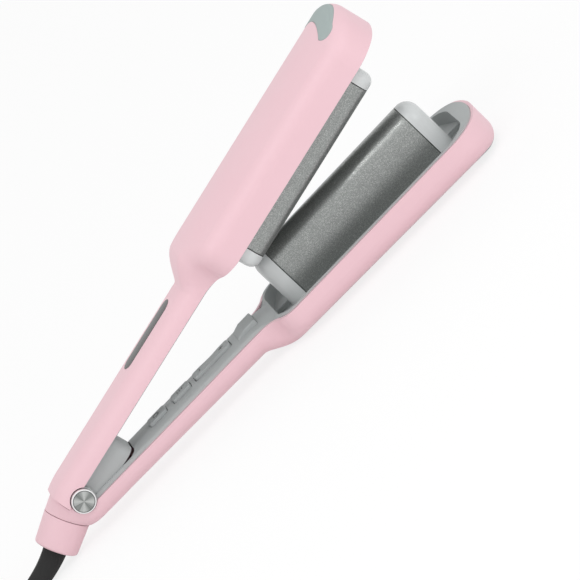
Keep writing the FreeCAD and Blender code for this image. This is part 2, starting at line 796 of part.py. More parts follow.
def base_body(inset):
    """The hinge end, which narrows from the handle's section to the collar's ring."""
    front, rear = base_section_front_x, base_section_rear_x
    edge = lower_edge_radius
    half = grip_half_width
    shrink = base_inset + inset
    sections = [
        section_wire(front + inset, half, -lower_depth(front), base_top_front, edge, shrink),
        section_wire(rear, half, -lower_depth(rear), base_top_rear, edge, shrink),
        collar_circle(-inset, collar_front_radius - shrink),
    ]
    return Part.makeLoft(sections, True, False)


def swing_space(grow):
    """All that the upper shell sweeps at the hinge end, in the lower arm's frame."""
    left, low = upper_rear_x - moving_gap - grow, upper_grip_rim - moving_gap - grow
    corners = [(left, low), (70, low), (70, 60), (left, 60)]
    swept = []
    for angle in (0, open_angle / 3, 2 * open_angle / 3, open_angle):
        swept.append(side_prism([turned_point(x, z, angle) for x, z in corners], 60))
    return fused(swept)


def to_collar(shape):
    """From the collar's own frame, with its axis on -X, to the lower arm's frame."""
    shape.rotate(ORIGIN, Y_AXIS, -collar_tilt)
    shape.translate(V(collar_ring_x, 0, collar_ring_z()))
    return shape


def make_lower_shell():
    outer = fused([lower_body(0), base_body(0).cut(swing_space(0))])
    room = base_body(shell_wall).cut(swing_space(shell_wall))
    shell = outer.cut(lower_body(shell_wall, lower_shell_rear_x - 2, 30)).cut(room)
    spigot = to_collar(revolved([(-3.0, 0), (-3.0, spigot_radius), (spigot_length, spigot_radius),
                                 (spigot_length, 0)]))
    shell = fused([shell, spigot])
    bore = to_collar(revolved([(-8.0, 0), (-8.0, spigot_bore), (spigot_lip_start, spigot_bore),
                               (spigot_lip_start, boot_radius + side_gap),
                               (spigot_length + 1, boot_radius + side_gap), (spigot_length + 1, 0)]))
    shell = shell.cut(bore)
    half = web_half_width() + side_gap
    shell = shell.cut(cross_cylinder(web_radius + moving_gap, -half, half))
    for side in (-1, 1):
        inner, outer_y = sorted((side * (ear_outer_y() - 0.1), side * 40))
        shell = shell.cut(cross_cylinder(cap_recess_radius, inner, outer_y))
    ears = ear_outer_y() + seat_gap
    shell = shell.cut(fused([cross_cylinder(ear_radius + seat_gap, -ears, ears),
                             wide_box(-ear_radius - seat_gap, 10, ears, lower_rim - 2.6, 20)]))
    pocket = pad_prism(seat_gap)
    pocket.rotate(ORIGIN, X_AXIS, 180)
    shell = shell.cut(pocket.cut(lower_body(pad_depth, rim_lift=80)))
    for x, y in lower_screw_spots:
        z = -lower_depth(x)
        foot = lower_rim - lower_liner_depth - seat_gap
        boss = Part.makeCylinder(screw_boss_radius, foot - z - shell_wall / 2, V(x, y, z + shell_wall / 2))
        shell = shell.fuse(boss)
        shell = shell.cut(Part.makeCylinder(screw_head_radius + 0.4, screw_head_height + 0.9, V(x, y, z - 0.2)))
        shell = shell.cut(Part.makeCylinder(screw_radius + running_gap, 20, V(x, y, z - 1)))
    return largest(shell.cut(make_supply_leads(lead_gap)))


def make_lower_pad():
    pad = pad_prism(0)
    pad.rotate(ORIGIN, X_AXIS, 180)
    pad = pad.common(lower_body(0, rim_lift=80)).cut(lower_body(pad_depth, rim_lift=80))
    return largest(pad)


def make_window():
    window = window_prism(0).common(upper_body(-window_proud))
    return largest(window.cut(upper_body(window_thickness)))


def make_button(x0, x1):
    """A push button: a key that stands proud of the ridge, and a flange below its wall."""
    key_top = ridge_top + button_proud
    under = ridge_top - ridge_wall - button_gap - ridge_drop(button_half_width + 1.0)
    key = rounded_slab(x0, x1, button_half_width, button_corner, under - button_flange, key_top)
    rim = [e for e in key.Edges if e.BoundBox.ZMin > key_top - 0.01]
    key = key.makeFillet(0.7, rim)
    flange = rounded_slab(x0 - 1.0, x1 + 1.0, button_half_width + 1.0, button_corner,
                          under - button_flange - 0.4, under - 0.4)
    return largest(fused([key, flange]))


def make_rocker():
    """The temperature rocker: one long key on a cross pin of its own."""
    x0, x1 = rocker_x
    key_top = ridge_top + button_proud
    middle = (x0 + x1) / 2
    key = rounded_slab(x0, x1, button_half_width, button_corner, ridge_top - ridge_wall - 1.4, key_top)
    rim = [e for e in key.Edges if e.BoundBox.ZMin > key_top - 0.01]
    key = key.makeFillet(0.7, rim)
    dip = cross_cylinder(60.0, -20, 20, middle, key_top + 60.0 - 0.45)
    key = key.cut(dip)
    pivot = cross_cylinder(1.1, -button_half_width - 1.6, button_half_width + 1.6, middle,
                           ridge_top - rocker_pivot_drop)
    return largest(fused([key, pivot]))


def make_stop_block():
    x0, x1 = stop_block_x
    top = ridge_top + stop_block_proud
    skin_low = ridge_height(x1 + 1.2) - ridge_wall - ridge_drop(stop_block_half_width + 1.2)
    under = skin_low - 3 * seat_gap
    outline = [(x0, under), (x1, under), (x1, top), (x0 + stop_block_slope, top), (x0, ridge_top + 0.2)]
    block = side_prism(outline, stop_block_half_width)
    rounded = [e for e in block.Edges if e.BoundBox.ZMin > ridge_top + 0.1 and e.BoundBox.ZMax > top - 0.1]
    block = block.makeFillet(0.8, rounded)
    flange = wide_box(x0 - 1.2, x1 + 1.2, stop_block_half_width + 1.2, under - 1.0, under)
    return largest(fused([block, flange]))


def make_board():
    return rounded_slab(board_x[0], board_x[1], board_half_width, 1.5, board_top - board_thickness, board_top)


def make_switches():
    """One small switch under each button, and two under the rocker."""
    low = (ridge_top - ridge_wall - button_gap - ridge_drop(button_half_width + 1.0) - button_flange - 0.4
           - button_travel - switch_clear)
    rocker_low = ridge_top - ridge_wall - 1.4 - button_travel - switch_clear
    spots = [(sum(power_button_x) / 2, low), (sum(mode_button_x) / 2, low),
             (rocker_x[0] + 4, rocker_low), (rocker_x[1] - 4, rocker_low)]
    solids = []
    for x, top in spots:
        body = wide_box(x - switch_size / 2, x + switch_size / 2, switch_size / 2, board_top, top - 0.5)
        plunger = Part.makeCylinder(1.6, 0.6, V(x, 0, top - 0.6))
        solids.append(largest(fused([body, plunger])))
    return Part.makeCompound(solids)


def make_hinge_cap(side):
    """A brushed cover disc pressed on one end of the hinge pin."""
    inner, depth = ear_outer_y(), cap_outer_y - ear_outer_y()
    cap = cross_cylinder(cap_radius, inner, cap_outer_y)
    front = [e for e in cap.Edges if abs(e.CenterOfMass.y - cap_outer_y) < 0.01]
    cap = cap.makeFillet(cap_bevel, front)
    cap = cap.cut(cross_cylinder(pin_radius + 0.02, inner - 1, inner + depth * 0.55))
    return cap if side > 0 else mirrored(cap)


def make_pin():
    length = ear_outer_y() + (cap_outer_y - ear_outer_y()) * 0.55 - 0.1
    return cross_cylinder(pin_radius, -length, length)


def biarc(p0, t0, p1, t1):
    """Two arcs that join p0 to p1 with the given directions at the ends."""
    v, t = p1 - p0, t0 + t1
    k = 2 * (1 - t0.dot(t1))
    vt = v.dot(t)
    if k < 1e-9:
        d = v.dot(v) / (4 * v.dot(t1))
    else:
        d = (-vt + math.sqrt(vt * vt + k * v.dot(v))) / k
    joint = (p0 + t0 * d + p1 - t1 * d) * 0.5
    return [tangent_arc(p0, t0, joint), tangent_arc(joint, (p1 - t1 * d) - (p0 + t0 * d), p1)]


def tangent_arc(a, tangent, b):
    """The arc from a to b that starts along the tangent."""
    chord = b - a
    tangent = V(tangent).normalize()
    side = chord - tangent * chord.dot(tangent)
    if side.Length < 1e-7:
        return Part.LineSegment(a, b).toShape()
    side.normalize()
    angle = math.atan2(chord.dot(side), chord.dot(tangent))
    radius = chord.Length / (2 * math.sin(angle))
    centre = a + side * radius
    middle = centre + (tangent * math.sin(angle) - side * math.cos(angle)) * radius
    return Part.Arc(a, middle, b).toShape()


def path_wire(point, start, end, steps):
    """A wire of biarcs along a curve given by a formula."""
    tiny = 1e-4
    knots = []
    for i in range(steps + 1):
        t = start + (end - start) * i / steps
        tangent = point(t + tiny) - point(t - tiny)
        knots.append((point(t), tangent.normalize()))
    edges = []
    for (p0, t0), (p1, t1) in zip(knots[:-1], knots[1:]):
        edges += biarc(p0, t0, p1, t1)
    return Part.Wire(edges)


def tube_on(wire, radius):
    """A round tube along a wire."""
    first = wire.OrderedEdges[0]
    start = first.valueAt(first.FirstParameter)
    tangent = first.tangentAt(first.FirstParameter)
    ring = Part.Wire(Part.Circle(start, tangent, radius).toShape())
    return wire.makePipeShell([ring], True, False)


def spring_point(t):
    """The coil of the hinge spring: t counts its turns."""
    a = 2 * math.pi * t
    y = (t - spring_turns / 2) * spring_pitch
    return V(spring_mean_radius * math.cos(a), y, -spring_mean_radius * math.sin(a))


def make_spring():
    coil = path_wire(spring_point, 0, spring_turns, 4 * spring_turns)
    low_leg = Part.LineSegment(spring_point(0) + V(0, 0, spring_leg), spring_point(0)).toShape()
    end = spring_point(spring_turns)
    high_leg = Part.LineSegment(end, end - V(0, 0, 1.5)).toShape()
    spring = tube_on(Part.Wire([low_leg] + coil.OrderedEdges + [high_leg]), spring_wire_radius)
    spring.rotate(ORIGIN, Y_AXIS, 90)
    return spring


def make_lock_ring():
    ring = revolved([(collar_seam, collar_bore), (collar_seam, collar_front_radius),
                     (collar_length, collar_end_radius), (collar_length, boot_radius + moving_gap),
                     (collar_lip_start, boot_radius + moving_gap), (collar_lip_start, collar_bore)])
    end = [e for e in ring.Edges if abs(e.CenterOfMass.x + collar_length) < 0.01
           and e.BoundBox.ZLength > 2 * collar_end_radius - 0.1]
    return to_collar(ring.makeFillet(collar_end_fillet, end))


def make_swivel():
    """The cord's swivel: a flange that turns inside the spigot, on the boot's core."""
    s0, s1 = boot_flange
    return to_collar(revolved([(boot_core_start, 0), (boot_core_start, boot_radius), (s0, boot_radius),
                               (s0, boot_flange_radius), (s1, boot_flange_radius), (s1, boot_radius),
                               (collar_length + 0.5, boot_radius), (collar_length + 0.5, 0)]))


def rounded_path(points):
    """A path of straight runs joined by arcs, each as large as its two runs allow."""
    share = 0.45
    edges, radii = [], []
    here = points[0]
    for a, b, c in zip(points[:-2], points[1:-1], points[2:]):
        back, ahead = a - b, c - b
        shorter = min(back.Length, ahead.Length)
        back.normalize()
        ahead.normalize()
        turn = math.pi - back.getAngle(ahead)
        cut = share * shorter
        radii.append(cut / math.tan(turn / 2))
        start, end = b + back * cut, b + ahead * cut
        if (start - here).Length > 1e-6:
            edges.append(Part.LineSegment(here, start).toShape())
        arc = tangent_arc(start, back * -1, end)
        edges.append(arc)
        here = end
    edges.append(Part.LineSegment(here, points[-1]).toShape())
    return Part.Wire(edges), radii


def lead_tube(points, radius):
    wire, _ = rounded_path([V(*p) for p in points])
    return tube_on(wire, radius)


def make_supply_leads(grow=0.0):
    """From the swivel under the knuckle to the control board."""
    start = collar_point(boot_core_start - 2.0, -3.0)
    low = -lower_depth(0) + shell_wall + supply_lead_radius + 0.3
    level = board_top - board_thickness - supply_lead_radius
    return lead_tube([start, (-8.6, -1, low + 2.8), (-2.5, -4, low), (14, -6.5, low), (32, -6, low + 0.8),
                      (board_x[0] + 6, -5, level - 0.45)], supply_lead_radius + grow)


def make_heater_leads(grow=0.0):
    """From the board through the neck to the centre barrel."""
    z_board = board_top - board_thickness - heater_lead_radius - 0.05
    z_low = lower_rim - lower_liner_depth - heater_lead_radius - 0.2
    x_up = sleeve_rear_x + 12
    return lead_tube([(board_x[1] - 8, 3, z_board), (board_x[1] + 6, 3, z_board - 1), (134, 2, z_low + 1),
                      (x_up - 5, 0, z_low), (x_up, 0, z_low + 4.5), (x_up, 0, pocket_floor + 5)],
                     heater_lead_radius + grow)


def make_upper_leads(grow=0.0):
    """From the knuckle along the upper handle, one branch to each side barrel."""
    z = upper_grip_rim + 3.6
    solids = []
    for side in (-1, 1):
        y = side * side_barrel_offset
        solids.append(lead_tube([(14, side * 4.5, 0), (24, side * 4.5, z), (60, side * 7, z), (118, side * 7, z),
                                 (138, y - side, z + 6), (lead_hole_x - 6, y, z + 6),
                                 (lead_hole_x, y, side_barrel_root), (lead_hole_x, y, 3.4)],
                                heater_lead_radius + grow))
    return Part.makeCompound(solids)


def make_display_board():
    z1 = upper_grip_top - window_thickness - 1.3
    board = rounded_slab(window_rear_x + 1, window_tip_x - 1, window_half_width + 1.2, 1.5,
                         z1 - board_thickness, z1)
    digits = wide_box(window_rear_x + 6, window_tip_x - 6, 3.4, z1, z1 + 0.9)
    return largest(fused([board, digits]))


def make_upper_screws():
    foot = upper_grip_rim - upper_grip_lip
    solids = []
    for x, y in upper_screw_spots:
        head = Part.makeCylinder(screw_head_radius, screw_head_height - 0.2, V(x, y, foot + 0.3))
        shank = Part.makeCylinder(screw_radius, upper_boss_depth + upper_liner_plate - 0.6, V(x, y, foot + 0.3))
        solids.append(largest(fused([head, shank])))
    return Part.makeCompound(solids)


def make_lower_screws():
    solids = []
    for x, y in lower_screw_spots:
        z = -lower_depth(x) + 0.9
        head = Part.makeCylinder(screw_head_radius, screw_head_height - 0.2, V(x, y, z))
        shank = Part.makeCylinder(screw_radius, lower_screw_top - z - 0.1, V(x, y, z))
        solids.append(largest(fused([head, shank])))
    return Part.makeCompound(solids)


def build_lower():
    nodes = {
        "lower_shell": make_lower_shell(),
        "lower_liner": make_lower_liner(),
        "lower_tip_pad": make_lower_pad(),
        "stop_block": make_stop_block(),
        "power_button": make_button(*power_button_x),
        "mode_button": make_button(*mode_button_x),
        "temperature_rocker": make_rocker(),
        "control_board": make_board(),
        "tact_switches": make_switches(),
        "hinge_pin": make_pin(),
        "hinge_cap_near": make_hinge_cap(-1),
        "hinge_cap_far": make_hinge_cap(1),
        "supply_leads": make_supply_leads(),
        "heater_leads": make_heater_leads(),
        "lower_screws": make_lower_screws(),
        "lock_ring": make_lock_ring(),
        "cord_swivel": make_swivel(),
    }
    nodes.update(make_centre_barrel())
    return nodes


def build_upper():
    nodes = {
        "upper_shell": make_upper_shell(),
        "upper_liner": make_upper_liner(),
        "upper_tip_pad": make_upper_pad(),
        "display_window": make_window(),
        "display_board": make_display_board(),
        "hinge_spring": make_spring(),
        "upper_leads": make_upper_leads(),
        "upper_screws": make_upper_screws(),
    }
    nodes.update(make_side_barrels())
    return nodes


def placed(shape, angle):
    shape = shape.copy()
    shape.rotate(ORIGIN, Y_AXIS, -angle)
    shape.translate(V(0, 0, hinge_height))
    return shape


def placed_point(point, angle):
    x, z = turned_point(point.x, point.z, angle)
    return V(x, point.y, z + hinge_height)


def make_strain_relief(shift):
    """The boot: it leaves the collar along the collar's axis and bends down on to the table."""
    start = placed_point(collar_point(collar_length + 0.5, 0), rest_pitch) + shift
    ahead = start - placed_point(collar_point(collar_length, 0), rest_pitch) - shift
    end, beyond = V(*cord_route[0]), V(*cord_route[1])
    ahead, heading = ahead.normalize(), (beyond - end).normalize()
    path = Part.Wire(biarc(start, ahead, end, heading))
    print("boot length", round(path.Length, 2), "bends", [round(e.Curve.Radius, 1) for e in path.Edges])
    rings = [Part.Wire(Part.Circle(start, ahead, boot_radius).toShape()),
             Part.Wire(Part.Circle(end, heading, boot_end_radius).toShape())]
    return path.makePipeShell(rings, True, False)


def free_cord(route, name):
    """A free stretch of cord along its route, with its bends and its volume printed."""
    wire, radii = rounded_path([V(*p) for p in route])
    tube = tube_on(wire, cord_radius)
    share = tube.Volume / (wire.Length * math.pi * cord_radius ** 2)
    print(name, "length", round(wire.Length, 2), "bends", [round(r, 1) for r in radii],
          "volume over section times length", round(share, 4))
    return tube


def coil_point(t):
    """The coil's middle line: t counts its turns from the outside of the lowest layer."""
    per_layer = coil_turns / coil_layers
    layer = min(int(t / per_layer), coil_layers - 1)
    into = t - layer * per_layer
    inward = into if layer % 2 == 0 else per_layer - into
    half_climb = coil_turns / coil_knots
    climb = sum(smooth_step((t - k * per_layer + half_climb) / (2 * half_climb))
                for k in range(1, coil_layers))
    a = math.radians(coil_start_angle - 360 * t)
    r = coil_outer_radius - coil_pitch * inward
    return V(coil_centre[0] + r * math.cos(a), coil_centre[1] + r * math.sin(a),
             cord_radius + coil_lift + coil_pitch * climb)


def least_self_gap(wire, radius, spacing=2.0):
    """The least space between stretches of a tube that aren't next to each other along it."""
    points = wire.discretize(Distance=spacing)
    skip = int(8 * radius / spacing)
    least = 1e9
    for i, p in enumerate(points):
        for q in points[i + skip:]:
            least = min(least, p.distanceToPoint(q))
    return least - 2 * radius


def make_coil():
    straight = 2 * cord_radius
    turns = path_wire(coil_point, 0, coil_turns, coil_knots).OrderedEdges
    first, last = turns[0], turns[-1]
    start, end = coil_point(0), coil_point(coil_turns)
    ahead = first.tangentAt(first.FirstParameter)
    onward = last.tangentAt(last.LastParameter)
    lead_in = Part.LineSegment(start - ahead * straight, start).toShape()
    lead_out = Part.LineSegment(end, end + onward * straight).toShape()
    wire = Part.Wire([lead_in] + turns + [lead_out])
    print("cord_coil length", round(wire.Length, 1), "from", lead_in.Vertexes[0].Point, "to",
          lead_out.Vertexes[1].Point, "least gap", round(least_self_gap(wire, cord_radius), 3))
    return tube_on(wire, cord_radius)


def make_tie():
    """A strap round the bundle of turns."""
    bore = coil_outer_radius - coil_pitch * coil_turns / coil_layers - cord_radius
    inner_r = math.sqrt(bore ** 2 - tie_width ** 2 / 4) - seat_gap
    outer_r = coil_outer_radius + cord_radius + seat_gap
    low = coil_lift - seat_gap
    high = coil_lift + 2 * cord_radius + coil_pitch * (coil_layers - 1) + seat_gap
    t = tie_thickness
    outer = box(inner_r - t, outer_r + t, -tie_width / 2, tie_width / 2, low - t, high + t)
    outer = outer.makeFillet(2.5, [e for e in outer.Edges if e.BoundBox.YLength > tie_width / 2])
    inner = box(inner_r, outer_r, -tie_width, tie_width, low, high)
    inner = inner.makeFillet(2.5 - t, [e for e in inner.Edges if e.BoundBox.YLength > tie_width])
    strap = outer.cut(inner)
    strap.rotate(ORIGIN, Z_AXIS, tie_angle)
    strap.translate(V(coil_centre[0], coil_centre[1], 0))
    return strap


def to_plug(shape):
    """From the plug's own frame, with the cord coming in at its origin along X."""
    end, before = V(*tail_route[-1]), V(*tail_route[-2])
    shape.rotate(ORIGIN, Z_AXIS, math.degrees(math.atan2(end.y - before.y, end.x - before.x)))
    shape.translate(end)
    return shape


def make_plug_body():
    x1 = plug_neck_length
    half, high = plug_thickness / 2, plug_height / 2
    block = box(x1, x1 + plug_body_length, -half, half, -high + seat_gap, high)
    block = block.makeFillet(plug_corner, [e for e in block.Edges if e.BoundBox.XLength > 1])
    rear = [e for e in block.Edges if e.BoundBox.XMax < x1 + 0.01]
    block = block.makeChamfer(2.0, rear)
    neck = Part.makeCone(cord_radius + 0.9, plug_neck_radius, plug_neck_length, ORIGIN, X_AXIS)
    body = fused([block, neck])
    for x in (2.0, 4.4, 6.8):
        groove = Part.makeCylinder(10, 0.9, V(x, 0, 0), X_AXIS)
        body = body.cut(groove.cut(Part.makeCylinder(cord_radius + 0.5, 0.9, V(x, 0, 0), X_AXIS)))
    return to_plug(largest(body))


def make_plug_blades():
    x1 = plug_neck_length + plug_body_length
    solids = []
    for side in (-1, 1):
        z = side * blade_spacing / 2
        blade = box(x1, x1 + blade_length, -blade_width / 2, blade_width / 2,
                    z - blade_thickness / 2, z + blade_thickness / 2)
        tip = [e for e in blade.Edges if e.BoundBox.XMin > x1 + 1 and e.BoundBox.ZLength > 1]
        blade = blade.makeFillet(1.4, tip)
        hole = Part.makeCylinder(blade_hole_radius, 4, V(x1 + blade_length - 4.2, 0, z - 2))
        solids.append(blade.cut(hole))
    return to_plug(Part.makeCompound(solids))


def build_cord(shift):
    return {
        "strain_relief": make_strain_relief(shift),
        "cord": free_cord(cord_route, "cord"),
        "cord_coil": make_coil(),
        "cord_tail": free_cord(tail_route, "cord_tail"),
        "cord_tie": make_tie(),
        "plug_body": make_plug_body(),
        "plug_blades": make_plug_blades(),
    }


def report(name, shape):
    box_now = shape.BoundBox
    print(name, shape.ShapeType, len(shape.Solids), "valid" if shape.isValid() else "INVALID",
          round(shape.Volume, 1), [round(v, 1) for v in (box_now.XMin, box_now.XMax, box_now.YMin,
                                                         box_now.YMax, box_now.ZMin, box_now.ZMax)])


def main():
    nodes = {name: placed(shape, rest_pitch) for name, shape in build_lower().items()}
    for name, shape in build_upper().items():
        nodes[name] = placed(shape, rest_pitch + open_angle)
    whole = FreeCAD.BoundBox()
    for name, shape in nodes.items():
        if name != "cord_swivel":
            whole.add(shape.optimalBoundingBox(True, False))
    shift = V(-(whole.XMin + whole.XMax) / 2, -(whole.YMin + whole.YMax) / 2, -whole.ZMin)
    for shape in nodes.values():
        shape.translate(shift)
    nodes.update(build_cord(shift))
    for name, shape in nodes.items():
        report(name, shape)
        shape.exportStep("parts/" + name + ".step")
    ring = placed_point(collar_point(0, 0), rest_pitch) + shift
    ahead = placed_point(collar_point(1, 0), rest_pitch) + shift - ring
    print("shift", shift, "hinge", V(0, 0, hinge_height) + shift)
    print("collar ring", ring, "axis", ahead)


main()
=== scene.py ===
"""Finishes, small parts, cord and studio of a three-barrel hair crimper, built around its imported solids."""

import json
import math

import bmesh
import bpy
from bpy.props import FloatProperty, FloatVectorProperty, IntProperty, PointerProperty
from mathutils import Matrix, Vector
from mathutils.bvhtree import BVHTree


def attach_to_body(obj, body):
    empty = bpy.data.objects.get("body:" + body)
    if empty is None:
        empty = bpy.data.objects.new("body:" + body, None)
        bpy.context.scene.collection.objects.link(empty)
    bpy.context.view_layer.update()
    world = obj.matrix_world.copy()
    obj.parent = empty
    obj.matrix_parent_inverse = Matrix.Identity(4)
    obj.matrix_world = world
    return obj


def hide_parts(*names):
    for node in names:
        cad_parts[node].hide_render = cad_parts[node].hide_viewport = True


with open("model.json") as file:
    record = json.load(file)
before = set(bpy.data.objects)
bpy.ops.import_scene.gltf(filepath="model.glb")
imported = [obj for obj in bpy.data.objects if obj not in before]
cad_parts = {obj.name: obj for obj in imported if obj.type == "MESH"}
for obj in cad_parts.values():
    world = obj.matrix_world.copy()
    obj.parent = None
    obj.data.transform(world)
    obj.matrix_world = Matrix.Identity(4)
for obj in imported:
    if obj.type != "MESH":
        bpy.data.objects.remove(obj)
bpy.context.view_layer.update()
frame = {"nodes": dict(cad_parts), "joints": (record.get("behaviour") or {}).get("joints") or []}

bl_info = {
    "name": "Three-Barrel Crimper",
    "version": (1, 0, 0),
    "blender": (4, 5, 0),
    "location": "3D View > Sidebar > Crimper",
    "description": "Finishes, small parts, cord and studio of a hair crimper with three barrels",
    "category": "Object",
}

# Arms: the own frame of each has X from the hinge to the tip, and Z up when the arms are shut
HINGE = Vector(next(j["pos_m"] for j in frame["joints"] if j["name"] == "arm_hinge"))
LOWER_PITCH = math.radians(0.85)
UPPER_PITCH = math.radians(13.35)
ARMS = {name: Matrix.Translation(HINGE) @ Matrix.Rotation(-pitch, 4, "Y")
        for name, pitch in (("lower_arm", LOWER_PITCH), ("upper_arm", UPPER_PITCH))}

# Cord: the same route as the solids follow, in metres
CORD_ROUTE = [(-0.186, -0.014, 0.0043), (-0.1919, -0.0212, 0.0037), (-0.19815, -0.0282, 0.004),
              (-0.20459, -0.03492, 0.004)]
TAIL_ROUTE = [(-0.2433, -0.05095, 0.0235), (-0.2582, -0.0503, 0.0224), (-0.2719, -0.0459, 0.0183),
              (-0.283, -0.0369, 0.0134), (-0.2903, -0.0243, 0.0106), (-0.2927, -0.0108, 0.0106)]
COIL_CENTRE = (-0.2373, -0.0107)
COIL_RADIUS = 0.0401
COIL_PITCH = 0.0065
COIL_LAYERS = 4
COIL_TURNS = 7.125
COIL_ARCS = 28
COIL_CLIMB_TURNS = 2 * COIL_TURNS / COIL_ARCS
COIL_START = math.radians(-45)
COIL_FLOOR = 0.004
COIL_POINTS_PER_TURN = 16

# Barrels, in the frame of their arm
SLEEVE_MIDDLE = 0.2035
SLEEVE_LENGTH = 0.098
SLEEVE_WALL = 0.0012
FILLET_POINTS = 4
# Dark rings at the sleeves' ends, painted shade for their seams
SEAM_WIDTH, SEAM_PROUD = 0.0004, 0.00003
CENTRE_HALF, CENTRE_HEIGHT, CENTRE_FOOT = 0.011, 0.0099, -0.0146
CENTRE_TILT = math.radians(0.5)
POCKET_FLOOR = -0.0147
SIDE_HALF, SIDE_HEIGHT, SIDE_ROOT, SIDE_OFFSET = 0.0083, -0.0023, 0.0086, 0.0198

# Crescent pads, in the frame of their arm: an arc is the X of its centre and its radius
PAD_OUTER = (0.2503, 0.0292)
PAD_INNER = (0.2386, 0.0287)
PAD_OUTER_END = 0.0195
PAD_INNER_END = 0.017
PAD_TIP = (0.2656, 0.0224)
PAD_ROWS, PAD_COLUMNS = 150, 30
PAD_THICKNESS = 0.0009
PAD_GRID_SHARE = 0.9985
PAD_LOOK_SHARE, PAD_LOOK_MARGIN, PAD_LOOK_START = 0.9935, 0.00012, 0.06
PAD_LINE_INSET, PAD_LINE_WIDTH, PAD_LINE_END, PAD_LINE_FADE = 0.0019, 0.00032, 0.0185, 0.002
# How dark the pad's groove is painted, as painted shade
PAD_LINE_PAINTED_SHADE = 0.8

# Hinge caps, from the hinge's axis and from the middle plane
CAP_RADIUS, CAP_BACK, CAP_FACE = 0.0065, 0.0135, 0.0173
CAP_EDGE, CAP_CHAMFER, CAP_STEPS = 0.00045, 0.00013, 128
CAP_RIM, CAP_GROOVE = (0.00605, 0.00575), (0.00568, 0.00548)
CAP_DISH = ((0.00538, 0.00006), (0.003, 0.00016), (0.0005, 0.00022), (0.0, 0.00022))
# Where the hinge caps' painted groove shade and painted rim highlight lie
CAP_GROOVE_REACH, CAP_GROOVE_HALF, CAP_RIM_REACH = 0.00555, 0.00013, 0.0057

# Controls on the lower handle, in its frame
KEY_TOP = -0.0006
POWER_X = 0.056
MODE_X = 0.07325
ROCKER_PLUS_X, ROCKER_MINUS_X = 0.1035, 0.088
SYMBOL_STROKE, SYMBOL_SUNK = 0.00032, 0.00005
POWER_RADIUS, POWER_START, POWER_END, POWER_STEPS = 0.0019, 35, 325, 40
POWER_BAR = (POWER_X + 0.0016, 0.002)
MODE_SPACING, MODE_LENGTH, MODE_LESS = 0.0017, 0.0036, 0.0012
ROCKER_MARK = 0.0032

# Camera: where it stands from the middle of the handles, and how far its aim lies beside that point
CAMERA_AZIMUTH, CAMERA_ELEVATION, CAMERA_ROLL = math.radians(1.887), math.radians(16.99), math.radians(46.526)
CAMERA_TARGET = Vector((0.13, 0, 0))
CAMERA_AIM = (0.01741, 0.01009)
LAMP_TARGET = Vector((0.03, 0, 0.05))
FLOOR_HALF = 12.0

HIDDEN_FINISHES = {
    "board": ("control_board", "display_board"),
    "switch": ("tact_switches",),
    "steel": ("hinge_pin", "hinge_spring"),
    "lead": ("supply_leads", "heater_leads", "upper_leads"),
    "ceramic": [barrel + "_heater" for barrel in ("centre", "near", "far")],
    "fuse": [barrel + "_thermal_fuse" for barrel in ("centre", "near", "far")],
}
CORD_FINISHES = {
    "sheath": ("cord", "cord_coil", "cord_tail"), "boot": ("cord_swivel", "strain_relief"),
    "strap": ("cord_tie",), "plug": ("plug_body",), "blade": ("plug_blades",),
}


def linear(red, green, blue):
    """A colour given in 0 to 255 display values, as linear light."""
    def one(value):
        value = value / 255
        return value / 12.92 if value <= 0.04045 else ((value + 0.055) / 1.055) ** 2.4
    return one(red), one(green), one(blue)


def color_property(name, description, red, green, blue):
    return FloatVectorProperty(name=name, description=description, subtype="COLOR", size=3, min=0.0, max=1.0,
                               default=linear(red, green, blue))


def length_property(name, description, default):
    return FloatProperty(name=name, description=description, default=default, min=0.0, subtype="DISTANCE",
                         unit="LENGTH", precision=5)


def share_property(name, description, default):
    return FloatProperty(name=name, description=description, default=default, min=0.0, max=1.0,
                         subtype="FACTOR")


def level_property(name, description, default, least=0.0):
    return FloatProperty(name=name, description=description, default=default, min=least)


class CrimperFinishes(bpy.types.PropertyGroup):
    """Colours and surface detail of the crimper."""
    housing: color_property("Housing", "Colour of both shells and the lock ring", 231, 193, 201)
    liner: color_property("Liner", "Colour of the grey inner mouldings", 236, 239, 238)
    cap: color_property("Cap", "Colour of the barrels' end caps", 237, 239, 238)
    coating: color_property("Coating", "Colour of the barrels' coating", 146, 149, 147)
    pad: color_property("Pad", "Colour of the soft pads on the tips", 158, 170, 168)
    sheath: color_property("Sheath", "Colour of the cord, its boot and its plug", 24, 24, 25)
    housing_roughness: share_property("Housing roughness", "Roughness of the painted shells", 0.5)
    wear: share_property("Edge wear", "How much the edges are rubbed", 0.35)
    dust: share_property("Dust", "How much dust lies on what faces up", 0.06)


class CrimperParts(bpy.types.PropertyGroup):
    """Sizes of the crimper's small parts."""
    sleeve_rounding: length_property("Sleeve rounding", "Radius of the barrel sleeves' edges", 0.0004)
    sleeve_steps: IntProperty(name="Sleeve steps", description="Points round a sleeve's arch", default=110,
                              min=16, max=400)
    pad_groove: length_property("Pad groove", "Depth of the line moulded in the pads", 0.00028)
    pad_rounding: length_property("Pad rounding", "Radius of the pads' upper edge", 0.0005)
    cap_groove: length_property("Cap groove", "Depth of the ring turned in the hinge caps", 0.0003)
    screw_head: length_property("Screw head", "Radius of the screws' heads", 0.0024)
    screw_height: length_property("Screw height", "Height of the screws' heads", 0.0014)
    screw_shank: length_property("Screw shank", "Radius of the screws' shanks", 0.0012)
    symbol_height: length_property("Symbol height", "How far the symbols stand out of the keys", 0.00012)


class CrimperCord(bpy.types.PropertyGroup):
    """The mains lead."""
    diameter: length_property("Diameter", "Diameter of the cord", 0.006)
    length: length_property("Length", "Length of the cord from its boot to its plug", 1.65)


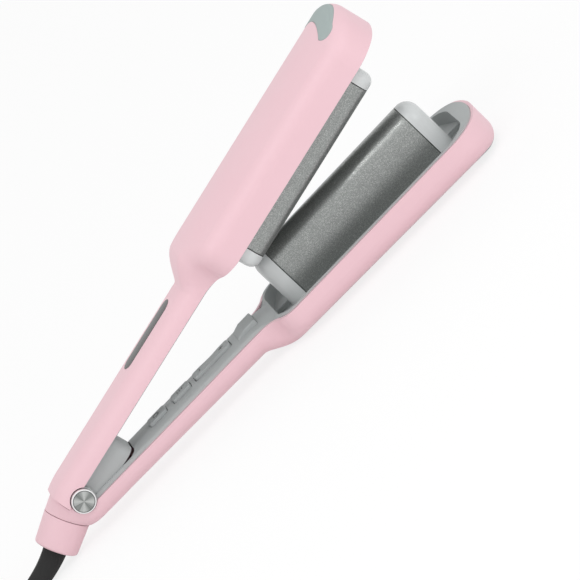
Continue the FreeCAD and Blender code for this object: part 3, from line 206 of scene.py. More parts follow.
class CrimperStage(bpy.types.PropertyGroup):
    """Camera, lamps and floor."""
    lens: level_property("Lens", "Focal length of the camera in millimetres", 310.345, least=10.0)
    distance: length_property("Distance", "From the camera to the middle of the handles", 2.5484)
    key_power: level_property("Key lamp", "Power of the large lamp in watts", 1.5)
    strip_power: level_property("Strip lamp", "Power of the narrow lamp in watts", 1.8)
    fill_power: level_property("Fill lamp", "Power of the fill lamp in watts", 3.0)
    world_strength: level_property("World", "Strength of the light from all round", 0.84)
    floor: color_property("Floor", "Colour of the floor", 250, 250, 250)
    backdrop_share: share_property("Backdrop share", "How much of the floor is seen as plain white", 0.8)


class NodeBuilder:
    """Adds nodes to a tree and joins them."""

    def __init__(self, tree):
        self.tree = tree

    def add(self, kind, inputs=None, **settings):
        node = self.tree.nodes.new(kind)
        for name, value in settings.items():
            setattr(node, name, value)
        return self.fill(node, inputs or {})

    def get(self, kind, inputs=None, **settings):
        return self.add(kind, inputs, **settings).outputs[0]

    def fill(self, node, inputs):
        for key, value in inputs.items():
            self.feed(node.inputs[key], value)
        return node

    def feed(self, socket, value):
        if isinstance(value, bpy.types.NodeSocket):
            self.tree.links.new(value, socket)
        else:
            socket.default_value = value

    def math(self, operation, first, second=0.0, third=0.0, clamp=False):
        inputs = {0: first, 1: second, 2: third}
        return self.get("ShaderNodeMath", inputs, operation=operation, use_clamp=clamp)

    def remap(self, value, low, high, new_low=0.0, new_high=1.0):
        node = self.add("ShaderNodeMapRange", {"Value": value, "From Min": low, "From Max": high,
                                               "To Min": new_low, "To Max": new_high})
        return node.outputs["Result"]

    def mix(self, factor, first, second):
        inputs = {0: factor, 6: first, 7: second}
        return self.add("ShaderNodeMix", inputs, data_type="RGBA").outputs[2]

    def noise(self, vector, scale, detail=2.0, roughness=0.5):
        node = self.add("ShaderNodeTexNoise", {"Vector": vector, "Scale": scale, "Detail": detail,
                                               "Roughness": roughness})
        return node.outputs["Fac"]

    def line_noise(self, place, scale, detail):
        inputs = {"W": place, "Scale": scale, "Detail": detail, "Roughness": 0.7}
        return self.add("ShaderNodeTexNoise", inputs, noise_dimensions="1D").outputs["Fac"]

    def bump(self, height, strength, distance, **inputs):
        node = self.add("ShaderNodeBump", {"Strength": strength, "Distance": distance, "Height": height,
                                           **inputs})
        return node.outputs["Normal"]

    def place(self):
        return self.add("ShaderNodeTexCoord").outputs["Object"]


def socket_kind(default):
    """The kind of a socket: the text given for it, or the kind of its default value."""
    if isinstance(default, str):
        return default
    if isinstance(default, int):
        return "Int"
    if isinstance(default, float):
        return "Float"
    return "Color" if len(default) == 4 else "Vector"


def new_group(name, kind, inputs, outputs):
    """A node group with its sockets, each by its default value or kind, and the builder for its nodes."""
    tree = bpy.data.node_groups.new(name, kind)
    for direction, sockets in (("INPUT", inputs), ("OUTPUT", outputs)):
        for socket_name, default in sockets.items():
            socket = tree.interface.new_socket(name=socket_name, in_out=direction,
                                               socket_type="NodeSocket" + socket_kind(default))
            if not isinstance(default, str):
                socket.default_value = default
    builder = NodeBuilder(tree)
    return tree, builder, builder.add("NodeGroupInput").outputs, builder.add("NodeGroupOutput").inputs


def grain_group():
    """Fine moulded grain: an uneven roughness and a bumped normal."""
    tree, b, given, result = new_group("Fine grain", "ShaderNodeTree", {
        "Grain per metre": 3000.0, "Depth": 0.1, "Roughness": 0.4, "Spread": 0.05,
    }, {"Roughness": "Float", "Normal": "Vector"})
    place = b.place()
    fine = b.noise(place, given["Grain per metre"], 3.0, 0.55)
    broad = b.noise(place, 55.0, 3.0, 0.6)
    smear = b.noise(place, 14.0, 2.0, 0.5)
    shift = b.math("SUBTRACT", b.math("ADD", broad, smear), 1.0)
    uneven = b.math("MULTIPLY_ADD", shift, given["Spread"], given["Roughness"], clamp=True)
    b.feed(result["Roughness"], uneven)
    b.feed(result["Normal"], b.bump(fine, given["Depth"], 0.0001))
    return tree


def wear_group():
    """Where an outer edge would be rubbed, from how far the rounded normal leaves the true one."""
    tree, b, given, result = new_group("Edge wear", "ShaderNodeTree", {
        "Width": 0.0006, "Amount": 0.4,
    }, {"Mask": "Float"})
    rounded = b.add("ShaderNodeBevel", {"Radius": given["Width"]}, samples=4).outputs["Normal"]
    true = b.add("ShaderNodeNewGeometry").outputs["Normal"]
    likeness = b.add("ShaderNodeVectorMath", {0: rounded, 1: true}, operation="DOT_PRODUCT").outputs["Value"]
    edge = b.remap(likeness, 0.995, 0.86)
    broken = b.remap(b.noise(b.place(), 260.0, 4.0, 0.7), 0.42, 0.68)
    b.feed(result["Mask"], b.math("MULTIPLY", b.math("MULTIPLY", edge, broken), given["Amount"], clamp=True))
    return tree


def dust_group():
    """A thin uneven film on what faces up."""
    tree, b, given, result = new_group("Dust", "ShaderNodeTree", {
        "Amount": 0.1, "Patch per metre": 60.0,
    }, {"Mask": "Float"})
    coords = b.add("ShaderNodeTexCoord").outputs
    upward = b.add("ShaderNodeSeparateXYZ", {"Vector": coords["Normal"]}).outputs["Z"]
    facing = b.remap(upward, 0.2, 1.0)
    patches = b.remap(b.noise(coords["Object"], given["Patch per metre"], 5.0, 0.65), 0.35, 0.75)
    specks = b.remap(b.noise(coords["Object"], 1900.0, 1.0, 0.5), 0.6, 0.72)
    film = b.math("ADD", patches, specks)
    b.feed(result["Mask"], b.math("MULTIPLY", b.math("MULTIPLY", facing, film), given["Amount"], clamp=True))
    return tree


def mottle_group():
    """A colour that drifts a little over the surface, with rubbed edges and dust laid on it."""
    tree, b, given, result = new_group("Worn colour", "ShaderNodeTree", {
        "Color": (0.5, 0.5, 0.5, 1), "Worn": (0.6, 0.6, 0.6, 1), "Drift": 0.04, "Wear": 0.0, "Dust": 0.0,
    }, {"Color": "Color"})
    drift = b.math("MULTIPLY", b.math("SUBTRACT", b.noise(b.place(), 30.0, 4.0, 0.6), 0.5), given["Drift"])
    hue = b.add("ShaderNodeHueSaturation", {"Color": given["Color"], "Value": b.math("ADD", drift, 1.0)})
    worn = b.mix(given["Wear"], hue.outputs["Color"], given["Worn"])
    b.feed(result["Color"], b.mix(given["Dust"], worn, (0.72, 0.71, 0.69, 1)))
    return tree


def flake_group():
    """Small metal flakes in a coating: the bright ones, the dark ones and their tilt."""
    tree, b, given, result = new_group("Metal flakes", "ShaderNodeTree", {
        "Flakes per metre": 3600.0, "Tilt": 0.2,
    }, {"Bright": "Float", "Dark": "Float", "Normal": "Vector"})
    place = b.place()

    def shades(scale):
        cells = b.add("ShaderNodeTexVoronoi", {"Vector": place, "Scale": scale}).outputs["Color"]
        return b.add("ShaderNodeSeparateColor", {"Color": cells}).outputs

    fine = shades(given["Flakes per metre"])
    coarse = shades(b.math("MULTIPLY", given["Flakes per metre"], 0.45))
    b.feed(result["Bright"], b.remap(fine[0], 0.72, 1.0))
    b.feed(result["Dark"], b.remap(coarse[1], 0.55, 1.0))
    b.feed(result["Normal"], b.bump(fine[2], given["Tilt"], 0.0001))
    return tree


GROUP_MAKERS = {"Fine grain": grain_group, "Edge wear": wear_group, "Dust": dust_group,
                "Worn colour": mottle_group, "Metal flakes": flake_group}


def place_group(b, name, inputs):
    """Puts a shared group in a material, and builds the group the first time."""
    tree = bpy.data.node_groups.get(name) or GROUP_MAKERS[name]()
    return b.add("ShaderNodeGroup", inputs, node_tree=tree).outputs


def start_material(name, ends=True):
    """A material with its builder and Principled shader, which ends it unless it is to be mixed."""
    material = bpy.data.materials.new(name)
    material.use_nodes = True
    material.node_tree.nodes.clear()
    b = NodeBuilder(material.node_tree)
    shader = b.add("ShaderNodeBsdfPrincipled")
    if ends:
        b.add("ShaderNodeOutputMaterial", {"Surface": shader.outputs["BSDF"]})
    return material, b, shader


def opaque(color):
    return (*color[:3], 1.0)


def tint(red, green, blue):
    return opaque(linear(red, green, blue))


def lighter(color, share):
    """A colour moved towards white."""
    return tuple(c + (1 - c) * share for c in color[:3])


def surface_grain(b, grain, depth, roughness, spread):
    return place_group(b, "Fine grain", {"Grain per metre": grain, "Depth": depth, "Roughness": roughness,
                                         "Spread": spread})


def worn_colour(b, color, drift, dust, **rubbed):
    """A drifting colour with its rubbed part and its dust, and the mask of that dust."""
    film = place_group(b, "Dust", {"Amount": dust})["Mask"]
    paint = place_group(b, "Worn colour", {"Color": color, "Drift": drift, "Dust": film, **rubbed})
    return paint["Color"], film


def moulded_material(name, color, roughness, spread=0.06, grain=3200.0, depth=0.1, drift=0.04, wear=0.3,
                     wear_width=0.0006, worn=None, dust=0.06, sockets=None, lines=0.0):
    """A moulded or painted plastic with grain, drift, rubbed edges, dust, and painted shade where a 'line'
    attribute marks a groove or a round edge.
    """
    material, b, shader = start_material(name)
    surface = surface_grain(b, grain, depth, roughness, spread)
    edge = place_group(b, "Edge wear", {"Width": wear_width, "Amount": wear})
    tone, film = worn_colour(b, opaque(color), drift, dust, Worn=opaque(worn or lighter(color, 0.35)),
                             Wear=edge["Mask"])
    # Painted shade: darker where the mesh's 'line' attribute marks a groove or a round edge.
    if lines:
        line = b.add("ShaderNodeAttribute", attribute_name="line").outputs["Fac"]
        tone = b.mix(b.math("MULTIPLY", line, lines), tone, opaque([c * 0.35 for c in color]))
    b.fill(shader, {
        "Base Color": tone, "Normal": surface["Normal"],
        "Roughness": b.math("MULTIPLY_ADD", film, 0.4, surface["Roughness"], clamp=True), **(sockets or {})})
    return material


def coating_material(name, color):
    """The barrels' coating: a grey film full of small bright flakes."""
    material, b, shader = start_material(name)
    flakes = place_group(b, "Metal flakes", {"Flakes per metre": 4200.0, "Tilt": 0.18})
    surface = surface_grain(b, 2600.0, 0.15, 0.29, 0.05)
    worn = opaque(lighter(color, 0.4))
    tone = worn_colour(b, opaque(color), 0.05, 0.05, Worn=worn, Wear=flakes["Bright"])[0]
    b.fill(shader, {
        "Base Color": b.mix(b.math("MULTIPLY", flakes["Dark"], 0.22), tone, (0.08, 0.085, 0.085, 1)),
        "Metallic": b.math("MULTIPLY_ADD", flakes["Bright"], 0.25, 0.7),
        "Roughness": b.math("MULTIPLY_ADD", flakes["Dark"], 0.1, surface["Roughness"]),
        "Normal": flakes["Normal"]})
    return material


def turned_steel_material(name, centre):
    """Steel faced on a lathe: fine rings, four painted highlight fans about the hinge's axis, painted shade
    in the turned groove, and a rim painted near white as its highlight.
    """
    material, b, shader = start_material(name)
    back = tuple(-c for c in centre)
    centred = b.get("ShaderNodeMapping", {"Vector": b.place(), "Location": back})
    flat = b.get("ShaderNodeVectorMath", {0: centred, 1: (1, 0, 1)}, operation="MULTIPLY")
    reach = b.add("ShaderNodeVectorMath", {0: flat}, operation="LENGTH").outputs["Value"]
    rings = b.line_noise(b.math("MULTIPLY", reach, 9000.0), 1.0, 3.0)
    beside = b.add("ShaderNodeSeparateXYZ", {"Vector": flat}).outputs
    # Painted highlight: four light fans about the axis, with radial streaks, stand in for the turned face's
    # conical highlights.
    angle = b.math("ARCTAN2", beside["Z"], beside["X"])
    painted_highlight_fans = b.math("MULTIPLY_ADD", b.math("COSINE", b.math("MULTIPLY", angle, 4.0)), -0.5, 0.5)
    painted_highlight_streaks = b.math("MULTIPLY_ADD", b.line_noise(b.math("ABSOLUTE", angle), 5.0, 4.0), 0.8, -0.3)
    light = b.math("ADD", b.math("MULTIPLY", painted_highlight_fans, 0.75), painted_highlight_streaks, clamp=True)
    face = b.mix(light, tint(120, 124, 122), tint(204, 206, 204))
    # Painted shade in the turned groove, and the rim painted near white as its highlight.
    cut = b.math("COMPARE", reach, CAP_GROOVE_REACH, CAP_GROOVE_HALF)
    painted_highlight_and_groove_shade = b.mix(cut, face, tint(88, 90, 90))
    rim = b.remap(reach, CAP_RIM_REACH, CAP_RIM_REACH + 0.0001)
    tone = worn_colour(b, b.mix(rim, painted_highlight_and_groove_shade, tint(240, 240, 240)), 0.06, 0.04)[0]
    b.fill(shader, {
        "Base Color": tone, "Metallic": 1.0, "Anisotropic": 0.4,
        "Roughness": b.remap(rings, 0.0, 1.0, 0.22, 0.4), "Normal": b.bump(rings, 0.3, 0.00008)})
    return material


def metal_material(name, color, roughness, scratch=0.12, wear=0.2):
    """Plain worked metal with faint scratches."""
    material, b, shader = start_material(name)
    stretched = b.get("ShaderNodeMapping", {"Vector": b.place(), "Scale": (1.0, 14.0, 14.0)})
    lines = b.noise(stretched, 320.0, 4.0, 0.7)
    surface = surface_grain(b, 2500.0, 0.1, roughness, 0.08)
    edge = place_group(b, "Edge wear", {"Width": 0.0004, "Amount": wear})
    tone = worn_colour(b, opaque(color), 0.08, 0.05, Worn=opaque(lighter(color, 0.5)), Wear=edge["Mask"])[0]
    b.fill(shader, {
        "Base Color": tone, "Metallic": 1.0,
        "Roughness": b.math("MULTIPLY_ADD", lines, scratch, surface["Roughness"]),
        "Normal": b.bump(lines, 0.12, 0.00005, Normal=surface["Normal"])})
    return material


def board_material(name):
    """Green solder mask with copper tracks under it."""
    material, b, shader = start_material(name)
    tracks = b.add("ShaderNodeTexBrick", {
        "Vector": b.place(), "Scale": 240.0, "Mortar Size": 0.06, "Color1": tint(24, 92, 58),
        "Color2": tint(30, 104, 66), "Mortar": tint(64, 138, 84)}).outputs
    surface = place_group(b, "Fine grain", {"Roughness": 0.35, "Spread": 0.08})
    b.fill(shader, {
        "Base Color": worn_colour(b, tracks["Color"], 0.1, 0.1)[0], "Roughness": surface["Roughness"],
        "Normal": b.bump(tracks["Fac"], 0.2, 0.0001)})
    return material


METALS = {"steel": ((176, 178, 180), 0.3), "blade": ((206, 196, 176), 0.26), "fuse": ((196, 192, 182), 0.34)}


def moulded_looks(look):
    """What makes each moulded material differ, from the scene's settings."""
    return {
        "housing": dict(color=look.housing, roughness=look.housing_roughness, spread=0.05, grain=3400.0,
                        depth=0.06, drift=0.025, wear=look.wear * 0.5,
                        sockets={"Coat Weight": 0.06, "Coat Roughness": 0.35}),
        "liner": dict(color=look.liner, roughness=0.44, grain=3000.0, depth=0.12, wear=look.wear),
        "cap": dict(color=look.cap, roughness=0.36, spread=0.05, grain=3000.0, depth=0.08, drift=0.035,
                    wear=look.wear * 0.6),
        "control": dict(color=look.liner, roughness=0.4, spread=0.05, grain=2800.0, drift=0.03,
                        wear=look.wear, wear_width=0.0004),
        # Dark rings at the sleeves' ends: painted shade for their seams
        "seam": dict(color=linear(58, 60, 60), roughness=0.6, wear=0.1, wear_width=0.0001),
        "symbol": dict(color=linear(92, 95, 95), roughness=0.5, wear=look.wear, wear_width=0.0001),
        # The pad's lines darken its groove and round edge as painted shade.
        "pad": dict(color=look.pad, roughness=0.58, spread=0.07, grain=2000.0, depth=0.22, drift=0.05,
                    wear=look.wear * 0.6, worn=lighter(look.pad, 0.2), dust=look.dust * 1.5, lines=0.6),
        "window": dict(color=linear(13, 13, 14), roughness=0.1, spread=0.03, depth=0.0, drift=0.02, wear=0.1,
                       wear_width=0.0003, dust=look.dust * 0.3,
                       sockets={"Specular IOR Level": 0.1, "IOR": 1.2}),
        "sheath": dict(color=look.sheath, roughness=0.42, spread=0.08, grain=1500.0, depth=0.25, drift=0.08,
                       wear=0.15, worn=lighter(look.sheath, 0.12)),
        "boot": dict(color=lighter(look.sheath, 0.01), roughness=0.46, grain=1800.0, depth=0.3, drift=0.08,
                     wear=0.2, worn=lighter(look.sheath, 0.1)),
        "strap": dict(color=linear(30, 30, 31), roughness=0.62, grain=1400.0, depth=0.5, drift=0.1),
        "plug": dict(color=lighter(look.sheath, 0.008), roughness=0.4, grain=1600.0, depth=0.3, drift=0.06,
                     worn=lighter(look.sheath, 0.1)),
        "ceramic": dict(color=linear(226, 222, 212), roughness=0.62, grain=2600.0, depth=0.3, drift=0.08,
                        wear=0.2, dust=0.08),
        "lead": dict(color=linear(196, 74, 60), roughness=0.4, grain=1500.0, depth=0.15, drift=0.06, wear=0.1,
                     dust=0.05),
        "switch": dict(color=linear(38, 38, 40), roughness=0.4, grain=2600.0, depth=0.12, drift=0.05,
                       wear=0.2, dust=0.06),
    }


def make_material(name):
    """The material of that name, built the first time from the scene's settings."""
    made = bpy.data.materials.get(name)
    if made:
        return made
    look = bpy.context.scene.crimper_finishes
    if name == "coating":
        return coating_material(name, look.coating)
    if name == "turned steel":
        return turned_steel_material(name, HINGE)
    if name == "board":
        return board_material(name)
    if name in METALS:
        color, roughness = METALS[name]
        return metal_material(name, linear(*color), roughness)
    return moulded_material(name, **{"dust": look.dust, **moulded_looks(look)[name]})


def dress(finish, *nodes):
    """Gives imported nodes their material."""
    for node in nodes:
        mesh = frame["nodes"][node].data
        mesh.materials.clear()
        mesh.materials.append(make_material(finish))


def new_object(name, mesh, finish=None):
    """An object at the origin, linked to the scene, with its material."""
    piece = bpy.data.objects.new(name, mesh)
    bpy.context.scene.collection.objects.link(piece)
    if finish:
        mesh.materials.clear()
        mesh.materials.append(make_material(finish))
    return piece


def attach(piece, body, nodes=()):
    """Makes a finished piece ride on its body, in place of its nodes."""
    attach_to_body(piece, body)
    if nodes:
        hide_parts(*nodes)


def finish_mesh(bm, mesh):
    """Merges a shape's doubles, turns its faces outwards and writes it to a mesh."""
    bmesh.ops.remove_doubles(bm, verts=bm.verts, dist=1e-7)
    bmesh.ops.recalc_face_normals(bm, faces=bm.faces)
    bm.to_mesh(mesh)
    bm.free()
    return mesh


def mesh_of(name, build, smooth=True):
    """A mesh built by a function that fills a bmesh."""
    bm = bmesh.new()
    build(bm)
    for face in bm.faces:
        face.smooth = smooth
    return finish_mesh(bm, bpy.data.meshes.new(name))


def join_rings(bm, rings, closed=True, ends=False):
    """Faces between neighbouring rings of vertices, or rows if they aren't closed, and over their ends."""
    for ring, after in zip(rings[:-1], rings[1:]):
        count = len(ring)
        for k in range(count if closed else count - 1):
            m = (k + 1) % count
            bm.faces.new(list(dict.fromkeys((ring[k], ring[m], after[m], after[k]))))
    if ends:
        bm.faces.new(rings[0][::-1])
        bm.faces.new(rings[-1])


def joined_mesh(name, meshes):
    """One mesh of several, which it uses up."""
    bm = bmesh.new()
    for mesh in meshes:
        bm.from_mesh(mesh)
        bpy.data.meshes.remove(mesh)
    whole = bpy.data.meshes.new(name)
    bm.to_mesh(whole)
    bm.free()
    return whole


def grown_mesh(name, tree, settings, points=((0, 0, 0),)):
    """The plain mesh that a Geometry Nodes tree makes from points, with its doubles merged."""
    seed = bpy.data.meshes.new(name + "_points")
    seed.from_pydata([tuple(p) for p in points], [], [])
    holder = new_object(name + "_points", seed)
    modifier = holder.modifiers.new("Grown", "NODES")
    modifier.node_group = tree
    keys = {item.name: item.identifier for item in tree.interface.items_tree
            if item.item_type == "SOCKET" and item.in_out == "INPUT"}
    for key, value in settings.items():
        modifier[keys[key]] = value
    bpy.context.view_layer.update()
    depsgraph = bpy.context.evaluated_depsgraph_get()
    mesh = bpy.data.meshes.new_from_object(holder.evaluated_get(depsgraph))
    mesh.name = name
    bpy.data.objects.remove(holder)
    bpy.data.meshes.remove(seed)
    bm = bmesh.new()
    bm.from_mesh(mesh)
    return finish_mesh(bm, mesh)


def new_shape_tree(name, inputs):
    """A Geometry Nodes tree that turns points into a painted shape of the given sizes."""
    ends = {"Geometry": "Geometry"}
    return new_group(name, "GeometryNodeTree", {**ends, **inputs, "Material": "Material"}, ends)


def end_tree(b, geometry, material, result):
    """The last nodes of each shape's tree."""
    real = b.get("GeometryNodeRealizeInstances", {"Geometry": geometry})
    smooth = b.get("GeometryNodeSetShadeSmooth", {"Geometry": real})
    painted = b.get("GeometryNodeSetMaterial", {"Geometry": smooth, "Material": material})
    b.feed(result["Geometry"], painted)


def set_fillet(node, count):
    """A fillet with that many points, whichever way this Blender names the choice."""
    if hasattr(node, "mode"):
        node.mode = "POLY"
    else:
        node.inputs["Mode"].default_value = "Poly"
    node.inputs["Count"].default_value = count


def sleeve_tree():
    """A barrel's sleeve: a flat bar with round edges, bent over an arch with straight legs."""
    tree, b, given, result = new_shape_tree("Arched sleeve", {
        "Half width": 0.01, "Leg": 0.02, "Wall": 0.0012, "Length": 0.1, "Rounding": 0.0004, "Steps": 100})
    radius = b.math("SUBTRACT", given["Half width"], b.math("MULTIPLY", given["Wall"], 0.5))
    arc = b.math("MULTIPLY", radius, math.pi)
    whole = b.math("MULTIPLY_ADD", given["Leg"], 2.0, arc)
    line = b.get("GeometryNodeMeshLine", {"Count": given["Steps"]})
    index = b.get("GeometryNodeInputIndex")
    share = b.math("DIVIDE", index, b.math("SUBTRACT", given["Steps"], 1.0))
    along = b.math("MULTIPLY", share, whole)
    first_leg = b.math("MINIMUM", along, given["Leg"])
    on_arc = b.math("MINIMUM", b.math("MAXIMUM", b.math("SUBTRACT", along, given["Leg"]), 0.0), arc)
    last_leg = b.math("MAXIMUM", b.math("SUBTRACT", along, b.math("ADD", given["Leg"], arc)), 0.0)
    angle = b.math("DIVIDE", on_arc, radius)
    across = b.math("MULTIPLY", b.math("MULTIPLY", b.math("COSINE", angle), radius), -1.0)
    rise = b.math("MULTIPLY_ADD", b.math("SINE", angle), radius, first_leg)
    height = b.math("SUBTRACT", rise, b.math("ADD", last_leg, given["Leg"]))
    spot = b.get("ShaderNodeCombineXYZ", {"X": 0.0, "Y": across, "Z": height})
    bent = b.get("GeometryNodeSetPosition", {"Geometry": line, "Position": spot})
    path = b.get("GeometryNodeMeshToCurve", {"Mesh": bent})
    turned = b.get("GeometryNodeSetCurveNormal", {"Curve": path, "Normal": (1.0, 0.0, 0.0)}, mode="FREE")
    sides = {"Width": given["Length"], "Height": given["Wall"]}
    bar = b.get("GeometryNodeCurvePrimitiveQuadrilateral", sides)
    rounded = b.add("GeometryNodeFilletCurve", {"Curve": bar, "Radius": given["Rounding"]})
    set_fillet(rounded, FILLET_POINTS)
    section = {"Curve": turned, "Profile Curve": rounded.outputs[0], "Fill Caps": True}
    end_tree(b, b.get("GeometryNodeCurveToMesh", section), given["Material"], result)
    return tree


def screw_tree():
    """Cross-head screws on points: each is a domed head with a cut recess, on a shank."""
    tree, b, given, result = new_shape_tree("Cross-head screws", {
        "Head radius": 0.0024, "Head height": 0.0014, "Shank radius": 0.0012, "Shank length": 0.008,
        "Direction": (0, 0, 1)})
    radius, height, shank_length = given["Head radius"], given["Head height"], given["Shank length"]

    def raised(geometry, z):
        shift = b.get("ShaderNodeCombineXYZ", {"Z": z})
        return b.get("GeometryNodeTransform", {"Geometry": geometry, "Translation": shift})

    def cylinder(sides, wide, deep):
        sizes = {"Vertices": sides, "Radius": wide, "Depth": deep}
        return b.get("GeometryNodeMeshCylinder", sizes)

    def gathered(node, key, shapes):
        for shape in shapes:
            b.feed(node.inputs[key], shape)
        return node.outputs[0]

    def union(*shapes):
        return gathered(b.add("GeometryNodeMeshBoolean", operation="UNION"), "Mesh 2", shapes)

    def join(*shapes):
        return gathered(b.add("GeometryNodeJoinGeometry"), 0, shapes)

    edge = b.math("MULTIPLY", height, 0.25)
    straight = b.math("SUBTRACT", height, edge)
    rim = b.get("GeometryNodeMeshCone", {"Vertices": 40, "Radius Top": b.math("MULTIPLY", radius, 0.86),
                                         "Radius Bottom": radius, "Depth": edge})
    turned_rim = b.get("GeometryNodeTransform", {"Geometry": rim, "Rotation": (math.pi, 0, 0)})
    wall = raised(cylinder(40, radius, straight), b.math("MULTIPLY_ADD", straight, 0.5, edge))
    arm, thin = b.math("MULTIPLY", radius, 1.15), b.math("MULTIPLY", radius, 0.26)
    bars = []
    for x, y in ((arm, thin), (thin, arm)):
        size = b.get("ShaderNodeCombineXYZ", {"X": x, "Y": y, "Z": height})
        cube = b.get("GeometryNodeMeshCube", {"Size": size})
        bars.append(raised(cube, b.math("MULTIPLY", height, -0.15)))
    shapes = {"Mesh 1": union(wall, raised(turned_rim, edge)), "Mesh 2": union(join(*bars))}
    head = b.get("GeometryNodeMeshBoolean", shapes, operation="DIFFERENCE")
    shank = raised(cylinder(24, given["Shank radius"], shank_length),
                   b.math("MULTIPLY_ADD", shank_length, 0.5, height))
    spread = b.get("GeometryNodeInstanceOnPoints", {
        "Points": given["Geometry"], "Instance": join(head, shank),
        "Rotation": b.get("FunctionNodeAlignRotationToVector", {"Vector": given["Direction"]})})
    end_tree(b, spread, given["Material"], result)
    return tree


class CRIMPER_OT_housings(bpy.types.Operator):
    """Finishes both shells, the lock ring and the grey inner mouldings"""
    bl_idname = "crimper.housings"
    bl_label = "Housings and liners"

    def execute(self, context):
        dress("housing", "lower_shell", "upper_shell", "lock_ring")
        dress("liner", "lower_liner", "upper_liner")
        return {"FINISHED"}


class CRIMPER_OT_barrels(bpy.types.Operator):
    """Makes the three coated sleeves with dark rings at their ends as painted seam shade, and finishes their
    end caps
    """
    bl_idname = "crimper.barrels"
    bl_label = "Barrels"

    def execute(self, context):
        parts = context.scene.crimper_parts
        tree = sleeve_tree()
        standing = (Matrix.Translation((SLEEVE_MIDDLE, 0, CENTRE_HEIGHT))
                    @ Matrix.Rotation(-CENTRE_TILT, 4, "Y"))
        rows = [("centre", "lower_arm", "lower_sleeve", CENTRE_HALF, CENTRE_HEIGHT - CENTRE_FOOT, standing)]
        for name, side in (("near", -1), ("far", 1)):
            hung = (Matrix.Translation((SLEEVE_MIDDLE, side * SIDE_OFFSET, SIDE_HEIGHT))
                    @ Matrix.Rotation(math.pi, 4, "X"))
            rows.append((name, "upper_arm", "upper_sleeve", SIDE_HALF, SIDE_ROOT - SIDE_HEIGHT, hung))
        for name, body, slot, half, leg, placing in rows:
            shared = {"Leg": leg, "Wall": SLEEVE_WALL, "Steps": parts.sleeve_steps}
            sleeve = grown_mesh(name + "_sleeve", tree, {
                **shared, "Half width": half, "Length": SLEEVE_LENGTH, "Rounding": parts.sleeve_rounding,
                "Material": make_material("coating")})
            # Dark rings at both ends of each sleeve: painted shade for the seam between sleeve and cap.
            seams = []
            for end in (-1, 1):
                seam = grown_mesh(name + "_seam", tree, {
                    **shared, "Half width": half + SEAM_PROUD, "Length": SEAM_WIDTH,
                    "Rounding": SEAM_WIDTH / 4, "Material": make_material("seam")})
                seam.transform(Matrix.Translation((end * (SLEEVE_LENGTH + SEAM_WIDTH) / 2, 0, 0)))
                seams.append(seam)
            seam_shade_mesh = joined_mesh(name + "_seam_shade", seams)
            for mesh in (sleeve, seam_shade_mesh):
                mesh.transform(placing)
                if name == "centre":
                    for vertex in mesh.vertices:
                        vertex.co.z = max(vertex.co.z, POCKET_FLOOR)
                mesh.transform(ARMS[body])
            piece = new_object(name + "_sleeve", sleeve)
            weigh_normals(piece)
            attach(piece, body, [name + "_barrel"])
            attach(new_object(name + "_seam_shade", seam_shade_mesh, "seam"), body)
            dress("coating", name + "_barrel")
            dress("cap", name + "_rear_cap", name + "_tip_cap")
        return {"FINISHED"}


def weigh_normals(piece):
    """Keeps broad faces flat-looking beside their rounded edges."""
    modifier = piece.modifiers.new("Weighted", "WEIGHTED_NORMAL")
    modifier.weight = 100
    modifier.keep_sharp = True


def circle_through(p, q, r):
    """The centre and the radius of the circle through three points."""
    ax, ay, bx, by, cx, cy = *p, *q, *r
    d = 2 * (ax * (by - cy) + bx * (cy - ay) + cx * (ay - by))
    p2, q2, r2 = ax * ax + ay * ay, bx * bx + by * by, cx * cx + cy * cy
    x = (p2 * (by - cy) + q2 * (cy - ay) + r2 * (ay - by)) / d
    y = (p2 * (cx - bx) + q2 * (ax - cx) + r2 * (bx - ax)) / d
    return x, y, math.hypot(ax - x, ay - y)


def pad_span(y):
    """From the inner to the outer side of the crescent at a distance from the middle plane."""
    def arc(centre, radius, at):
        return centre + math.sqrt(max(radius ** 2 - at ** 2, 0.0))

    outer_end = (arc(*PAD_OUTER, PAD_OUTER_END), PAD_OUTER_END)
    inner_end = (arc(*PAD_INNER, PAD_INNER_END), PAD_INNER_END)
    tip_x, tip_y, radius = circle_through(outer_end, PAD_TIP, inner_end)
    top = tip_y + radius
    at = min(abs(y), top)
    reach = math.sqrt(max(radius * radius - (at - tip_y) ** 2, 0.0))
    outer = arc(*PAD_OUTER, at) if at < PAD_OUTER_END else tip_x + reach
    inner = arc(*PAD_INNER, at) if at < PAD_INNER_END else tip_x - reach
    return inner, outer, top


def surface_of(node, matrix):
    """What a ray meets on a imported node, with its mesh in an arm's own frame."""
    mesh = frame["nodes"][node].data
    back = matrix.inverted()
    vertices = [back @ v.co for v in mesh.vertices]
    return BVHTree.FromPolygons(vertices, [list(p.vertices) for p in mesh.polygons])


def pad_grid(skin, way):
    """Rows of points: X, Y, Z on the solid's face, and how far in from any side and from the outer side."""
    grid = []
    top = pad_span(0)[2]
    for i in range(PAD_ROWS + 1):
        y = top * math.sin(math.pi * (i / PAD_ROWS - 0.5)) * PAD_GRID_SHARE
        inner, outer, _ = pad_span(y)
        row = []
        for j in range(PAD_COLUMNS + 1):
            share = 0.5 - 0.5 * math.cos(math.pi * j / PAD_COLUMNS)
            x = inner + (outer - inner) * share
            from_tip = math.hypot(x - PAD_TIP[0], abs(y) - PAD_TIP[1]) if abs(y) > PAD_INNER_END else 1.0
            depth = min(x - inner, outer - x, from_tip)
            pull = max(0.0, PAD_LOOK_MARGIN - depth)
            look_x = x + (pull if x - inner < outer - x else -pull)
            spot = skin.ray_cast(Vector((look_x, y * PAD_LOOK_SHARE, way * PAD_LOOK_START)),
                                 Vector((0, 0, -way)))[0]
            inset = PAD_OUTER[1] - math.hypot(x - PAD_OUTER[0], y)
            row.append([x, y, None if spot is None else spot.z, depth, inset])
        grid.append(row)
    return grid


